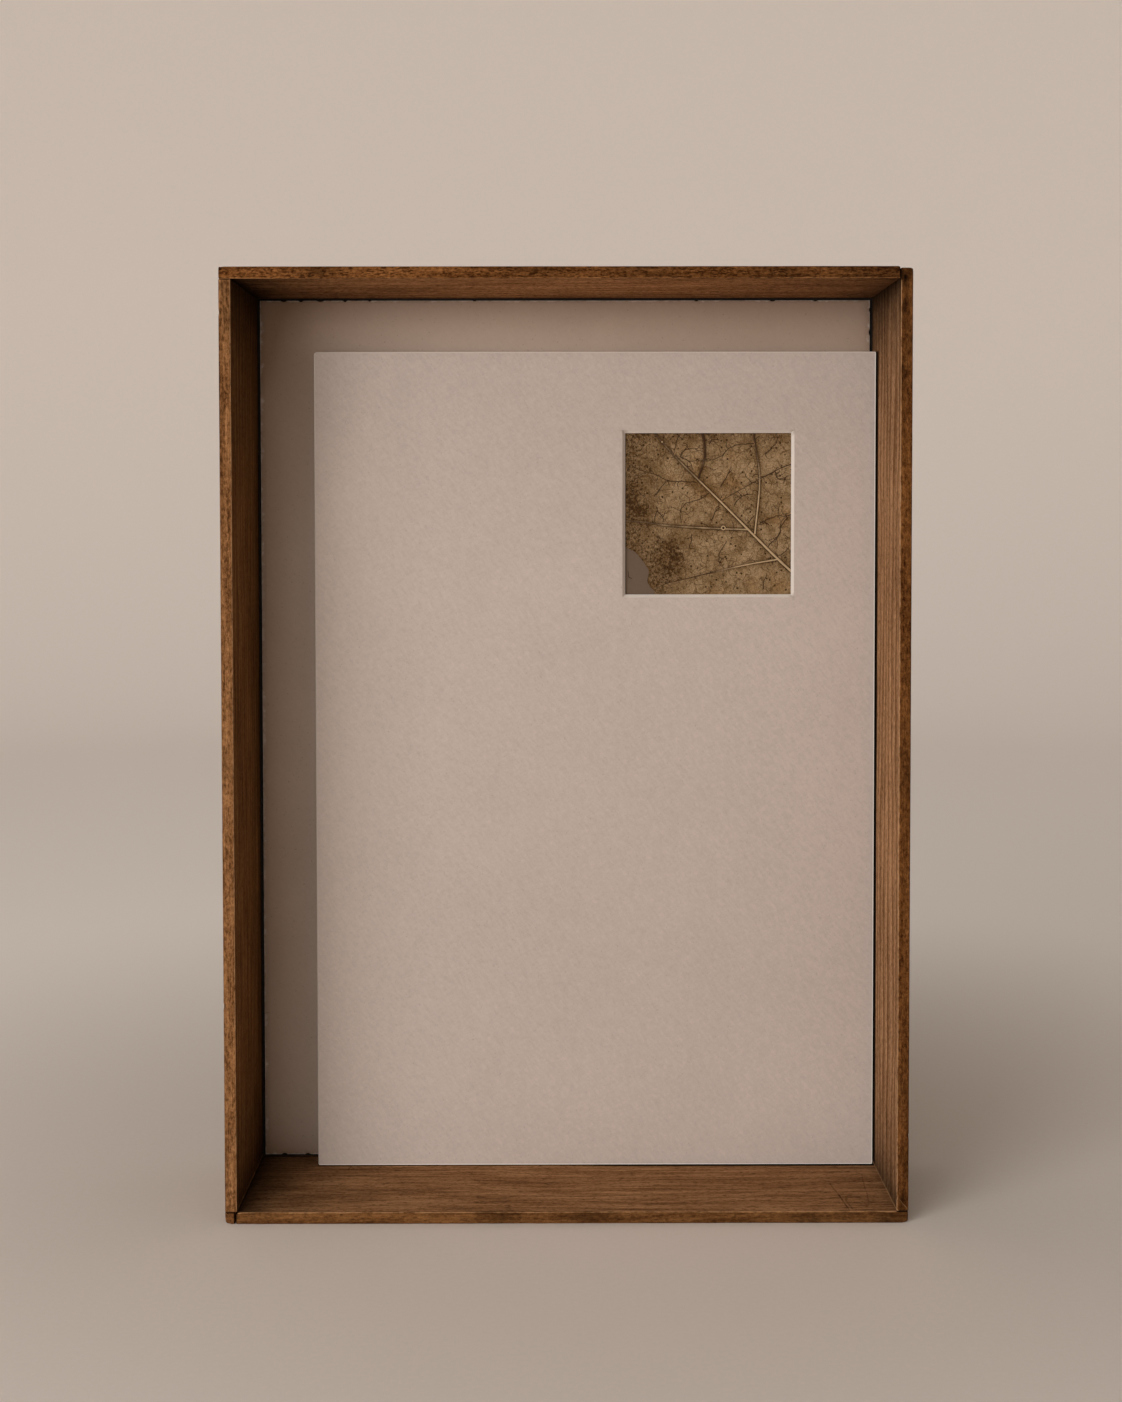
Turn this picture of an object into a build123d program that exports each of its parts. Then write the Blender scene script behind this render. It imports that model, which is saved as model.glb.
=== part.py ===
from build123d import *
import os

# A wooden display case, open at the front, with a mounted leaf behind a window mat.
# Millimetres. X runs to the right, Z runs up and the open front faces -Y.
# The origin lies on the floor, under the middle of the case.

# Case
inner_width = 300.0             # between the side boards, room for a 297 x 420 sheet
inner_height = 422.4            # between the bottom and top boards
inner_depth = 77.6              # from the front edges to the face of the lining board
board_thickness = 5.4
joint_gap = 0.2                 # butt joint left slightly open, at the upper right corner
strip_width = 4.4               # square strip that fills the lower left corner
strip_gap = 0.5                 # between that strip and the bottom board
right_board_drop = 0.6          # how far the right board ends below the top of the case
top_corner_round = 0.9
foot_corner_round = 1.4
edge_round = 0.5                # worn front edges

# Back
lining_thickness = 2.0
lining_side_gap = 1.5           # air between the lining board and each side board
lining_end_gap = 1.2            # air above and below the lining board
back_thickness = 4.0
back_recess = 1.4               # rear edges of the boards stand behind the back panel
rebate_width = 2.7
back_fit_gap = 0.25             # back panel in its rebate, on each side

# Pins
pin_diameter = 1.2
pin_length = 15.0
pin_point = 1.2
pin_head_diameter = 2.0
pin_head_height = 0.6
pin_set = 0.3                   # heads are punched this far below the wood
pin_fit = 0.03                  # radial clearance of a pin in its hole
pin_inset = 14.5                # first pin from the front edge of a corner
pins_per_corner = 3
back_pin_length = 11.0
back_pin_rows = 5               # pins up each side of the back panel
back_pin_columns = 3            # pins along its top and its bottom
back_pin_inset = 24.0           # first pin from the end of its row

# Insert: mount board, spacer battens and window mat
space_left = 29.3               # open strip between the left board and the insert
space_above = 27.3              # open strip between the top board and the insert
insert_side_gap = 0.7           # insert to the right board
insert_foot_gap = 0.3           # insert to the bottom board
insert_back_gap = 0.3           # battens to the lining board
batten_depth = 9.0
batten_width = 12.0
batten_inset = 10.0             # battens stand in from the edge of the mount board
mount_thickness = 1.4
mat_thickness = 1.4
mat_gap = 1.2                   # between the mat and the mount board, where the leaf lies

# Window in the mat, measured at its smaller back edge; its bevel runs at 45 degrees
window_width = 80.0
window_height = 77.8
window_right_margin = 40.4      # back edge of the window to the right edge of the mat
window_top_margin = 38.9        # back edge of the window to the top edge of the mat
bevel_angle = 45.0

# Linen hinge tape, one leaf on the mount board and one on the mat
tape_thickness = 0.2
tape_width = 18.0
tape_end_gap = 6.0

# Leaf, drawn from the middle of the window
blade_thickness = 0.3
vein_height = 0.45
midrib_height = 0.7
stalk_width = 1.7
midrib_tip_width = 0.5
vein_base_width = 0.9
vein_tip_width = 0.4
vein_stations = 9               # places along a vein where its width is set

leaf_base = (56.0, -42.0)
lower_tip = (-24.0, -60.0)
left_tip = (-70.0, -3.0)
middle_tip = (-46.0, 67.0)
upper_tip = (17.0, 69.0)
right_tip = (71.0, 31.0)

# The margin runs from tip to tip, each stretch through its hollow between two lobes.
leaf_margins = [
    [leaf_base, (40.0, -53.0), (18.0, -56.0), (0.0, -53.0), lower_tip],
    [lower_tip, (-22.5, -48.0), (-25.3, -39.0), (-29.2, -32.5), (-28.8, -27.5), (-33.0, -20.5),
     (-40.0, -15.7), (-53.0, -10.5), left_tip],
    [left_tip, (-58.0, 8.0), (-47.0, 17.0), (-50.0, 33.0), (-54.0, 48.0), middle_tip],
    [middle_tip, (-30.0, 62.0), (-13.0, 55.0), (2.0, 62.0), upper_tip],
    [upper_tip, (27.0, 58.0), (40.0, 47.0), (56.0, 42.0), right_tip],
    [right_tip, (65.0, 14.0), (64.0, -6.0), (64.0, -26.0), leaf_base],
]

# The midrib runs from the foot of the stalk to the tip of the middle lobe.
midrib_points = [(67.0, -82.0), (65.5, -64.0), (56.0, -42.0), (34.0, -22.0), (8.7, 3.3),
                 (-22.2, 34.7), (-45.0, 65.0)]
side_vein_points = [
    [(22.7, -9.8), (24.9, 17.2), (22.1, 38.8), (18.0, 66.0)],
    [(21.0, -8.0), (7.4, -7.2), (-20.4, -5.5), (-66.0, -3.0)],
    [(33.9, -22.0), (17.7, -24.8), (-11.5, -31.6), (-23.0, -57.0)],
    [(-4.8, 16.2), (-1.5, 28.0), (-2.6, 38.8), (-9.0, 53.0)],
    [(6.0, 6.1), (27.6, 18.2), (38.4, 23.3), (67.0, 30.0)],
    [(29.2, -15.3), (34.6, -9.8), (38.9, -1.7), (61.0, 8.0)],
]

# Paper straps over the stalk
strap_places = [0.05, 0.14]     # along the midrib, from the foot of the stalk
strap_thickness = 0.12
strap_width = 4.0
strap_reach = 8.0               # from the stalk to each end of a strap
strap_ease = 0.05               # over the stalk
strap_slope = 0.9               # run of a strap's sloping sides beside the stalk

# Sizes that follow from the ones above
case_width = inner_width + 2 * board_thickness
case_height = inner_height + 2 * board_thickness
rebate_depth = back_thickness + back_recess
case_depth = inner_depth + lining_thickness + rebate_depth
front_y = -case_depth / 2
back_y = case_depth / 2
left_wall = -inner_width / 2
right_wall = inner_width / 2
floor_z = board_thickness
ceiling_z = board_thickness + inner_height
middle_z = case_height / 2

lining_y = front_y + inner_depth
back_panel_y = lining_y + lining_thickness

battens_y = lining_y - insert_back_gap - batten_depth
mount_y = battens_y - mount_thickness
mat_y = mount_y - mat_gap - mat_thickness
insert_left = left_wall + space_left
insert_right = right_wall - insert_side_gap
insert_bottom = floor_z + insert_foot_gap
insert_top = ceiling_z - space_above

window_right = insert_right - window_right_margin
window_top = insert_top - window_top_margin
window_x = window_right - window_width / 2
window_z = window_top - window_height / 2

pin_pitch = (case_depth - 2 * pin_inset) / (pins_per_corner - 1)
side_pin_x = (case_width - board_thickness) / 2
rebate_pin_x = (inner_width + rebate_width) / 2
rebate_pin_z = (inner_height + rebate_width) / 2


# Places and shapes that several pieces share

def upright_plane(y):
    # Its own X and Y are the case's X and Z, and it faces the open front.
    return Plane.XZ.offset(-y)


def area(left, right, bottom, top):
    with Locations(((left + right) / 2, (bottom + top) / 2)):
        Rectangle(right - left, top - bottom)


def slab(left, right, bottom, top, front, depth):
    with BuildSketch(upright_plane(front)) as outline:
        area(left, right, bottom, top)
    extrude(outline.sketch, amount=-depth)


def edge_along_depth(piece, right_side, top_side):
    # The long corner edge of a board that lies at the named side and end.
    columns = piece.edges().filter_by(Axis.Y).group_by(Axis.X)
    return columns[-1 if right_side else 0].sort_by(Axis.Z)[-1 if top_side else 0]


def wear_front_edges(piece):
    fillet(piece.faces().sort_by(Axis.Y)[0].edges(), radius=edge_round)


def cut_rebate():
    with BuildSketch(upright_plane(back_y)) as opening:
        with Locations((0, middle_z)):
            Rectangle(inner_width + 2 * rebate_width, inner_height + 2 * rebate_width)
    extrude(opening.sketch, amount=rebate_depth, mode=Mode.SUBTRACT)


# The planes lie on the wood where each row of pins is driven in, with +Z out of the wood.
top_left_driving = Plane(origin=(-side_pin_x, 0, case_height), x_dir=(0, 1, 0), z_dir=(0, 0, 1))
top_right_driving = Plane(
    origin=(case_width / 2, 0, case_height - board_thickness / 2), x_dir=(0, 1, 0), z_dir=(1, 0, 0)
)
bottom_right_driving = Plane(origin=(side_pin_x, 0, 0), x_dir=(0, 1, 0), z_dir=(0, 0, -1))
strip_side_driving = Plane(
    origin=(-case_width / 2, 0, board_thickness / 2), x_dir=(0, 1, 0), z_dir=(-1, 0, 0)
)
strip_foot_driving = Plane(origin=(-side_pin_x, 0, 0), x_dir=(0, 1, 0), z_dir=(0, 0, -1))
back_driving = Plane(
    origin=(0, back_panel_y + back_thickness, middle_z), x_dir=(1, 0, 0), z_dir=(0, 1, 0)
)


def corner_row(driving, count):
    with Locations(driving):
        with GridLocations(pin_pitch, 0, count, 1) as row:
            return row.locations


def spread(reach, count):
    # Even places from -reach to +reach.
    return [reach * (2 * step / (count - 1) - 1) for step in range(count)]


def back_row():
    side_places = spread(inner_height / 2 - back_pin_inset, back_pin_rows)
    end_places = spread(inner_width / 2 - back_pin_inset, back_pin_columns)
    places = [(side * rebate_pin_x, z) for side in (-1, 1) for z in side_places]
    places += [(x, end * rebate_pin_z) for end in (-1, 1) for x in end_places]
    with Locations(back_driving):
        with Locations(*places) as row:
            return row.locations


top_left_row = corner_row(top_left_driving, pins_per_corner)
top_right_row = corner_row(top_right_driving, pins_per_corner)
bottom_right_row = corner_row(bottom_right_driving, pins_per_corner)
strip_side_row = corner_row(strip_side_driving, pins_per_corner)
strip_foot_row = corner_row(strip_foot_driving, pins_per_corner - 1)
back_pin_places = back_row()


def bore(places, length, head_sunk):
    with Locations(*places):
        CounterBoreHole(
            radius=pin_diameter / 2 + pin_fit,
            counter_bore_radius=pin_head_diameter / 2 + pin_fit,
            counter_bore_depth=pin_head_height + head_sunk,
            depth=head_sunk + length + pin_fit,
        )


def drive_pins(places, length, head_sunk):
    # One turned pin with a flat head and a blunt point, repeated at each place.
    head_top = -head_sunk
    shank_top = head_top - pin_head_height
    tip = head_top - length
    with BuildPart(mode=Mode.PRIVATE) as pin:
        with BuildSketch(Plane.XZ):
            with BuildLine():
                Polyline(
                    (0, head_top),
                    (pin_head_diameter / 2, head_top),
                    (pin_head_diameter / 2, shank_top),
                    (pin_diameter / 2, shank_top),
                    (pin_diameter / 2, tip + pin_point),
                    (pin_diameter / 4, tip),
                    (0, tip),
                    close=True,
                )
            make_face()
        revolve(axis=Axis.Z)
    return [place * pin.part for place in places]


# Case boards

# The top board lies on the left board and stops against the right board.
with BuildPart() as top_board:
    slab(-case_width / 2, right_wall - joint_gap, ceiling_z, case_height, front_y, case_depth)
    fillet(edge_along_depth(top_board, True, True), radius=top_corner_round)
    wear_front_edges(top_board)
    cut_rebate()
    bore(top_left_row, pin_length, pin_set)
    bore(top_right_row, pin_length, pin_set)
    bore(back_pin_places, back_pin_length, 0)

# The right board stands on the bottom board and runs up past the end of the top board.
with BuildPart() as right_board:
    slab(right_wall, case_width / 2, floor_z, case_height - right_board_drop, front_y, case_depth)
    fillet(edge_along_depth(right_board, True, True), radius=top_corner_round)
    wear_front_edges(right_board)
    cut_rebate()
    bore(top_right_row, pin_length, pin_set)
    bore(bottom_right_row, pin_length, pin_set)
    bore(back_pin_places, back_pin_length, 0)

# The bottom board runs under the right board and stops short of the corner strip.
with BuildPart() as bottom_board:
    slab(-case_width / 2 + strip_width + strip_gap, case_width / 2, 0, floor_z, front_y, case_depth)
    fillet(edge_along_depth(bottom_board, True, False), radius=foot_corner_round)
    fillet(edge_along_depth(bottom_board, False, True), radius=foot_corner_round)
    wear_front_edges(bottom_board)
    cut_rebate()
    bore(bottom_right_row, pin_length, pin_set)
    bore(strip_side_row, pin_length, pin_set)
    bore(back_pin_places, back_pin_length, 0)

# The left board stands on the corner strip, under the top board.
with BuildPart() as left_board:
    slab(-case_width / 2, left_wall, floor_z, ceiling_z, front_y, case_depth)
    wear_front_edges(left_board)
    cut_rebate()
    bore(top_left_row, pin_length, pin_set)
    bore(strip_foot_row, pin_length, pin_set)
    bore(back_pin_places, back_pin_length, 0)

# The corner strip fills the lower left corner over the whole depth.
with BuildPart() as corner_strip:
    slab(-case_width / 2, -case_width / 2 + strip_width, 0, floor_z, front_y, case_depth)
    fillet(edge_along_depth(corner_strip, False, False), radius=foot_corner_round)
    wear_front_edges(corner_strip)
    cut_rebate()
    bore(strip_side_row, pin_length, pin_set)
    bore(strip_foot_row, pin_length, pin_set)


# Back

with BuildPart() as back_panel:
    overlap = rebate_width - back_fit_gap
    slab(
        left_wall - overlap, right_wall + overlap, floor_z - overlap, ceiling_z + overlap,
        back_panel_y, back_thickness,
    )
    bore(back_pin_places, back_pin_length, 0)

with BuildPart() as lining_board:
    slab(
        left_wall + lining_side_gap, right_wall - lining_side_gap,
        floor_z + lining_end_gap, ceiling_z - lining_end_gap,
        lining_y, lining_thickness,
    )


# Pins

with BuildPart() as top_left_pins:
    add(drive_pins(top_left_row, pin_length, pin_set))

with BuildPart() as top_right_pins:
    add(drive_pins(top_right_row, pin_length, pin_set))

with BuildPart() as bottom_right_pins:
    add(drive_pins(bottom_right_row, pin_length, pin_set))

with BuildPart() as bottom_left_pins:
    add(drive_pins(strip_side_row, pin_length, pin_set))
    add(drive_pins(strip_foot_row, pin_length, pin_set))

with BuildPart() as back_panel_pins:
    add(drive_pins(back_pin_places, back_pin_length, 0))


# Insert

with BuildPart() as mount_board:
    slab(insert_left, insert_right, insert_bottom, insert_top, mount_y, mount_thickness)

# Four battens hold the mount board off the lining board.
frame_left = insert_left + batten_inset
frame_right = insert_right - batten_inset
frame_bottom = insert_bottom + batten_inset
frame_top = insert_top - batten_inset

with BuildPart() as left_batten:
    slab(frame_left, frame_left + batten_width, frame_bottom, frame_top, battens_y, batten_depth)

with BuildPart() as right_batten:
    slab(frame_right - batten_width, frame_right, frame_bottom, frame_top, battens_y, batten_depth)

with BuildPart() as top_batten:
    slab(
        frame_left + batten_width, frame_right - batten_width, frame_top - batten_width, frame_top,
        battens_y, batten_depth,
    )

with BuildPart() as bottom_batten:
    slab(
        frame_left + batten_width, frame_right - batten_width, frame_bottom,
        frame_bottom + batten_width, battens_y, batten_depth,
    )

# The mat's window opens towards the front by its bevel.
with BuildPart() as window_mat:
    slab(insert_left, insert_right, insert_bottom, insert_top, mat_y, mat_thickness)
    with BuildSketch(upright_plane(mat_y + mat_thickness)):
        with Locations((window_x, window_z)):
            Rectangle(window_width, window_height)
    extrude(amount=mat_thickness, taper=-bevel_angle, mode=Mode.SUBTRACT)


# Hinge tape, folded inside the left edge of the insert

tape_bottom = insert_bottom + tape_end_gap
tape_top = insert_top - tape_end_gap

with BuildPart() as mount_tape:
    slab(
        insert_left, insert_left + tape_width, tape_bottom, tape_top,
        mount_y - tape_thickness, tape_thickness,
    )

with BuildPart() as mat_tape:
    slab(
        insert_left, insert_left + tape_width, tape_bottom, tape_top,
        mat_y + mat_thickness, tape_thickness,
    )


# Leaf, lying on the mount board

leaf_plane = Plane(origin=(window_x, mount_y, window_z), x_dir=(1, 0, 0), z_dir=(0, -1, 0))


def vein_sides(points, base_width, tip_width):
    # Two rows of points along a vein, one on each side, that draw in towards its tip.
    path = Spline(*points)
    left_side = []
    right_side = []
    for station in range(vein_stations):
        along = station / (vein_stations - 1)
        half_width = (base_width + (tip_width - base_width) * along) / 2
        across = (path % along).rotate(Axis.Z, 90) * half_width
        left_side.append((path @ along) + across)
        right_side.append((path @ along) - across)
    return left_side, right_side


def raise_vein(sides, height):
    left_side, right_side = sides
    with BuildSketch(leaf_plane) as outline:
        with BuildLine():
            Spline(*left_side)
            Spline(*right_side)
            Line(left_side[0], right_side[0])
            Line(left_side[-1], right_side[-1])
        make_face()
    extrude(outline.sketch, amount=height)


midrib_sides = vein_sides(midrib_points, stalk_width, midrib_tip_width)
side_vein_sides = [
    vein_sides(points, vein_base_width, vein_tip_width) for points in side_vein_points
]

with BuildPart() as leaf:
    with BuildSketch(leaf_plane):
        with BuildLine():
            for margin in leaf_margins:
                Spline(*margin)
        make_face()
    extrude(amount=blade_thickness)
    raise_vein(midrib_sides, midrib_height)
    for vein in side_vein_sides:
        raise_vein(vein, vein_height)


# Straps, each a strip of paper that steps up over the stalk

stalk_path = Spline(*midrib_points)


def strap_plane(along):
    # It stands across the stalk, its X across and its Y out of the mount board.
    spot = stalk_path @ along
    direction = stalk_path % along
    return Plane(
        origin=leaf_plane.from_local_coords((spot.X, spot.Y, 0)),
        x_dir=(-direction.Y, 0, direction.X),
        z_dir=(direction.X, 0, direction.Y),
    )


def strap_outline():
    crown = stalk_width / 2 + strap_ease
    foot = crown + strap_slope
    rise = midrib_height + strap_ease
    under = [(-strap_reach, 0), (-foot, 0), (-crown, rise), (crown, rise), (foot, 0), (strap_reach, 0)]
    over = [(x, y + strap_thickness) for x, y in reversed(under)]
    return under + over


with BuildPart() as leaf_straps:
    for place in strap_places:
        with BuildSketch(strap_plane(place)):
            with BuildLine():
                Polyline(*strap_outline(), close=True)
            make_face()
        extrude(amount=strap_width / 2, both=True)


# Files

pieces = {
    "top_board": top_board,
    "right_board": right_board,
    "bottom_board": bottom_board,
    "left_board": left_board,
    "corner_strip": corner_strip,
    "back_panel": back_panel,
    "lining_board": lining_board,
    "top_left_pins": top_left_pins,
    "top_right_pins": top_right_pins,
    "bottom_right_pins": bottom_right_pins,
    "bottom_left_pins": bottom_left_pins,
    "back_panel_pins": back_panel_pins,
    "mount_board": mount_board,
    "left_batten": left_batten,
    "right_batten": right_batten,
    "top_batten": top_batten,
    "bottom_batten": bottom_batten,
    "mount_tape": mount_tape,
    "mat_tape": mat_tape,
    "window_mat": window_mat,
    "leaf": leaf,
    "leaf_straps": leaf_straps,
}

os.makedirs("parts", exist_ok=True)
for name, piece in pieces.items():
    piece.part.label = name
    export_step(piece.part, f"parts/{name}.step")
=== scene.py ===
import math
import random

import bpy
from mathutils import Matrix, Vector, geometry, kdtree, noise


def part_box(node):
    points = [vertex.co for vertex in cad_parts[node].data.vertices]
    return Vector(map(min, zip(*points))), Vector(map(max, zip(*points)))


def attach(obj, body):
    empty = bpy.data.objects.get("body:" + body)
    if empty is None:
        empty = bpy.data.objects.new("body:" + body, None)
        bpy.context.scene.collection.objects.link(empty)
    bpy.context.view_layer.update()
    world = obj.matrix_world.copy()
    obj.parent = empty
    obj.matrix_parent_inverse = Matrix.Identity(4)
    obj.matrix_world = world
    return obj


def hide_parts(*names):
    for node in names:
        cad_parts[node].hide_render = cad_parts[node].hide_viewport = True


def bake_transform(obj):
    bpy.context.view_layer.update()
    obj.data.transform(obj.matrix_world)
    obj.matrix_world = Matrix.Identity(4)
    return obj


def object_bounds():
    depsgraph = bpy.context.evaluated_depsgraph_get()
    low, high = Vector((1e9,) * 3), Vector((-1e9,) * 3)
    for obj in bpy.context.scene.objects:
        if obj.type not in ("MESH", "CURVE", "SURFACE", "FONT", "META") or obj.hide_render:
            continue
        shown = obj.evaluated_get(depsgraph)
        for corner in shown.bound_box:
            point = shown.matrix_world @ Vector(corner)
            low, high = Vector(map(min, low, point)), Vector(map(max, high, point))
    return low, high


# A wooden display case with a mounted leaf behind a window mat.
# Shapes are worked out in millimetres and written to the meshes in metres.

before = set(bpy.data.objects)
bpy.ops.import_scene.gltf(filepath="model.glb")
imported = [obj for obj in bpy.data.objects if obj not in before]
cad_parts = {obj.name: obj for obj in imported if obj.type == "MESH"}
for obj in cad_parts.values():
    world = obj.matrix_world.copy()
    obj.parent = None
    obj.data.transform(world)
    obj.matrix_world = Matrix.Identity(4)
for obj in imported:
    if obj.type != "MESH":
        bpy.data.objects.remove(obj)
cadLow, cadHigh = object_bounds()
mm = 0.001
caseLow, caseHigh = cadLow / mm, cadHigh / mm


# Tools for shapes

def boxOf(node):
    low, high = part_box(node)
    return low / mm, high / mm


def ease(value, low, high):  # 0 below low, 1 above high, smooth between
    share = min(max((value - low) / (high - low), 0), 1)
    return share * share * (3 - 2 * share)


def wander(place, size, seed=0):  # soft noise from -1 to 1, with hills about `size` mm wide
    return noise.noise(Vector(place) / size + Vector((7.3, 3.1, 5.7)) * seed)


def rowsBetween(low, high, step, nearRows):
    # Close rows beside both ends and even ones between.
    near = [row for row in nearRows if row < (high - low) / 2 - 0.05]
    start, stop = low + near[-1], high - near[-1]
    count = max(1, round((stop - start) / step))
    middle = [start + (stop - start) * index / count for index in range(1, count)]
    return [low + row for row in near] + middle + [high - row for row in reversed(near)]


def makeObject(name, points, faces, materials, masks=None, faceMaterials=None):
    mesh = bpy.data.meshes.new(name)
    mesh.from_pydata([Vector(point) * mm for point in points], [], faces)
    for mask, values in (masks or {}).items():
        layer = mesh.attributes.new(mask, "FLOAT", "POINT")
        layer.data.foreach_set("value", values)
    for material in materials:
        mesh.materials.append(material)
    if faceMaterials:
        mesh.polygons.foreach_set("material_index", faceMaterials)
    mesh.shade_smooth()
    obj = bpy.data.objects.new(name, mesh)
    bpy.context.scene.collection.objects.link(obj)
    return obj


def keepSharp(obj, degrees):  # smooth shading except over edges sharper than this
    obj.data.set_sharp_from_angle(angle=math.radians(degrees))


def applyModifiers(obj):
    graph = bpy.context.evaluated_depsgraph_get()
    mesh = bpy.data.meshes.new_from_object(obj.evaluated_get(graph))
    obj.modifiers.clear()
    obj.data = mesh


def cutAway(obj, shape):
    cutter = makeObject("cutter", *shape, [obj.data.materials[-1]])
    modifier = obj.modifiers.new("cut", "BOOLEAN")
    modifier.object = cutter
    modifier.operation = "DIFFERENCE"
    modifier.solver = "MANIFOLD"
    applyModifiers(obj)
    bpy.data.objects.remove(cutter)


def boxSurface(rows):
    # The closed skin of a box, with a line of vertices at each row.
    points, faces, known = [], [], {}

    def vertex(key):
        if key not in known:
            known[key] = len(points)
            points.append(Vector([rows[axis][key[axis]] for axis in range(3)]))
        return known[key]

    for axis in range(3):
        across, up = (axis + 1) % 3, (axis + 2) % 3
        for side in (0, len(rows[axis]) - 1):
            for first in range(len(rows[across]) - 1):
                for second in range(len(rows[up]) - 1):
                    quad = []
                    for stepAcross, stepUp in ((0, 0), (1, 0), (1, 1), (0, 1)):
                        key = [0, 0, 0]
                        key[axis] = side
                        key[across] = first + stepAcross
                        key[up] = second + stepUp
                        quad.append(vertex(tuple(key)))
                    faces.append(quad if side else quad[::-1])
    return points, faces


def closedSheet(front, back, isOpen=None):
    # Two grids of points become one closed sheet, with walls round it and round its openings.
    columns = len(front[0])
    points = [point for row in front for point in row] + [point for row in back for point in row]
    behind = len(front) * columns
    kept = {
        (row, column)
        for row in range(len(front) - 1)
        for column in range(columns - 1)
        if not (isOpen and isOpen(row, column))
    }
    faces, kinds = [], []
    for row, column in sorted(kept):
        start = row * columns + column
        quad = [start, start + 1, start + columns + 1, start + columns]
        faces += [quad, [index + behind for index in reversed(quad)]]
        kinds += [(row, column, "front"), (row, column, "back")]
        beside = ((row - 1, column), (row, column + 1), (row + 1, column), (row, column - 1))
        for side, neighbour in enumerate(beside):
            if neighbour not in kept:
                first, second = quad[side], quad[(side + 1) % 4]
                faces.append([second, first, first + behind, second + behind])
                kinds.append((row, column, "wall"))
    return points, faces, kinds


def lathe(profile, segments, place=(0, 0, 0), outward=(0, 0, 1), isRing=False):
    # A profile of (radius, height), from foot to top, turned round the outward direction.
    turn = Vector((0, 0, 1)).rotation_difference(Vector(outward))
    points, rings, faces = [], [], []
    for radius, height in profile:
        count = segments if radius > 0 else 1
        rings.append(range(len(points), len(points) + count))
        for index in range(count):
            angle = 2 * math.pi * index / segments
            spot = Vector((radius * math.cos(angle), radius * math.sin(angle), height))
            points.append(turn @ spot + Vector(place))
    for lower, upper in zip(rings, rings[1:] + rings[:1] if isRing else rings[1:]):
        for index in range(segments):
            after = (index + 1) % segments
            corners = (lower[index % len(lower)], lower[after % len(lower)],
                       upper[after % len(upper)], upper[index % len(upper)])
            face = list(dict.fromkeys(corners))
            if len(face) > 2:
                faces.append(face)
    return points, faces


def gather(shapes):  # several (points, faces) as one
    points, faces = [], []
    for morePoints, moreFaces in shapes:
        faces += [[index + len(points) for index in face] for face in moreFaces]
        points += morePoints
    return points, faces


def curveThrough(knots, step):
    # A smooth line through the knots, leaving and arriving straight at its ends.
    path = [Vector(knot) for knot in knots]
    path = [2 * path[0] - path[1]] + path + [2 * path[-1] - path[-2]]
    made = []
    for before, start, stop, after in zip(path, path[1:], path[2:], path[3:]):
        first, middle, last = (
            math.sqrt((far - near).length)
            for near, far in ((before, start), (start, stop), (stop, after))
        )
        leave = ((start - before) / first - (stop - before) / (first + middle)) * middle + (stop - start)
        arrive = (stop - start) + ((after - stop) / last - (after - start) / (middle + last)) * middle
        count = max(2, round((stop - start).length / step)) + 1
        made += geometry.interpolate_bezier(start, start + leave / 3, stop - arrive / 3, stop, count)[:-1]
    return made + [path[-2]]


# Tools for nodes

def fill(tree, socket, value):  # with another node's output, a colour or a number
    if isinstance(value, bpy.types.NodeSocket):
        tree.links.new(value, socket)
    elif socket.type == "RGBA":
        socket.default_value = (*value, 1)
    else:
        socket.default_value = value


def put(tree, kind, sockets=None, **settings):
    node = tree.nodes.new(kind)
    node.location = (190 * (len(tree.nodes) % 10), -260 * (len(tree.nodes) // 10))
    for setting, value in settings.items():
        setattr(node, setting, value)
    for label, value in (sockets or {}).items():
        fill(tree, node.inputs[label], value)
    return node


def calc(tree, operation, first, second=0.0, third=0.0):
    return put(tree, "ShaderNodeMath", {0: first, 1: second, 2: third}, operation=operation).outputs[0]


def calcVector(tree, operation, first, second=(0, 0, 0)):
    node = put(tree, "ShaderNodeVectorMath", {0: first, 1: second}, operation=operation)
    return node.outputs["Value" if operation in ("LENGTH", "DOT_PRODUCT", "DISTANCE") else "Vector"]


def times(tree, first, second):
    return calc(tree, "MULTIPLY", first, second)


def scaled(tree, vector, amount):
    return put(tree, "ShaderNodeVectorMath", {0: vector, 3: amount}, operation="SCALE").outputs[0]


def spanned(tree, value, low, high, toLow=0.0, toHigh=1.0):
    sockets = {0: value, 1: low, 2: high, 3: toLow, 4: toHigh}
    return put(tree, "ShaderNodeMapRange", sockets, interpolation_type="SMOOTHSTEP").outputs[0]


def mixed(tree, share, first, second):
    return put(tree, "ShaderNodeMix", {0: share, 6: first, 7: second}, data_type="RGBA").outputs[2]


def noiseAt(tree, vector, stretch, detail=2.0, roughness=0.5, distortion=0.0):
    # `stretch` says how fine the noise is: one number, or one for each axis.
    if isinstance(stretch, (int, float)):
        stretch = (stretch, stretch, stretch)
    sockets = {"Vector": calcVector(tree, "MULTIPLY", vector, stretch), "Scale": 1.0, "Detail": detail,
               "Roughness": roughness, "Distortion": distortion}
    return put(tree, "ShaderNodeTexNoise", sockets).outputs


def driftAt(tree, vector, stretch, detail, roughness=0.5):  # a soft random shift, even to all sides
    return calcVector(tree, "SUBTRACT", noiseAt(tree, vector, stretch, detail, roughness)[1], (0.5, 0.5, 0.5))


def raised(tree, base, value, amount, middle=0.5):  # the base, moved as far as the value is off its middle
    return calc(tree, "MULTIPLY_ADD", calc(tree, "SUBTRACT", value, middle), amount, base)


def split(tree, vector):
    return put(tree, "ShaderNodeSeparateXYZ", {0: vector}).outputs


def clamped(tree, value):
    return put(tree, "ShaderNodeClamp", {0: value}).outputs[0]


socketKinds = {
    "vector": "NodeSocketVector", "colour": "NodeSocketColor", "number": "NodeSocketFloat",
    "whole": "NodeSocketInt", "shape": "NodeSocketGeometry", "material": "NodeSocketMaterial",
}


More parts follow.
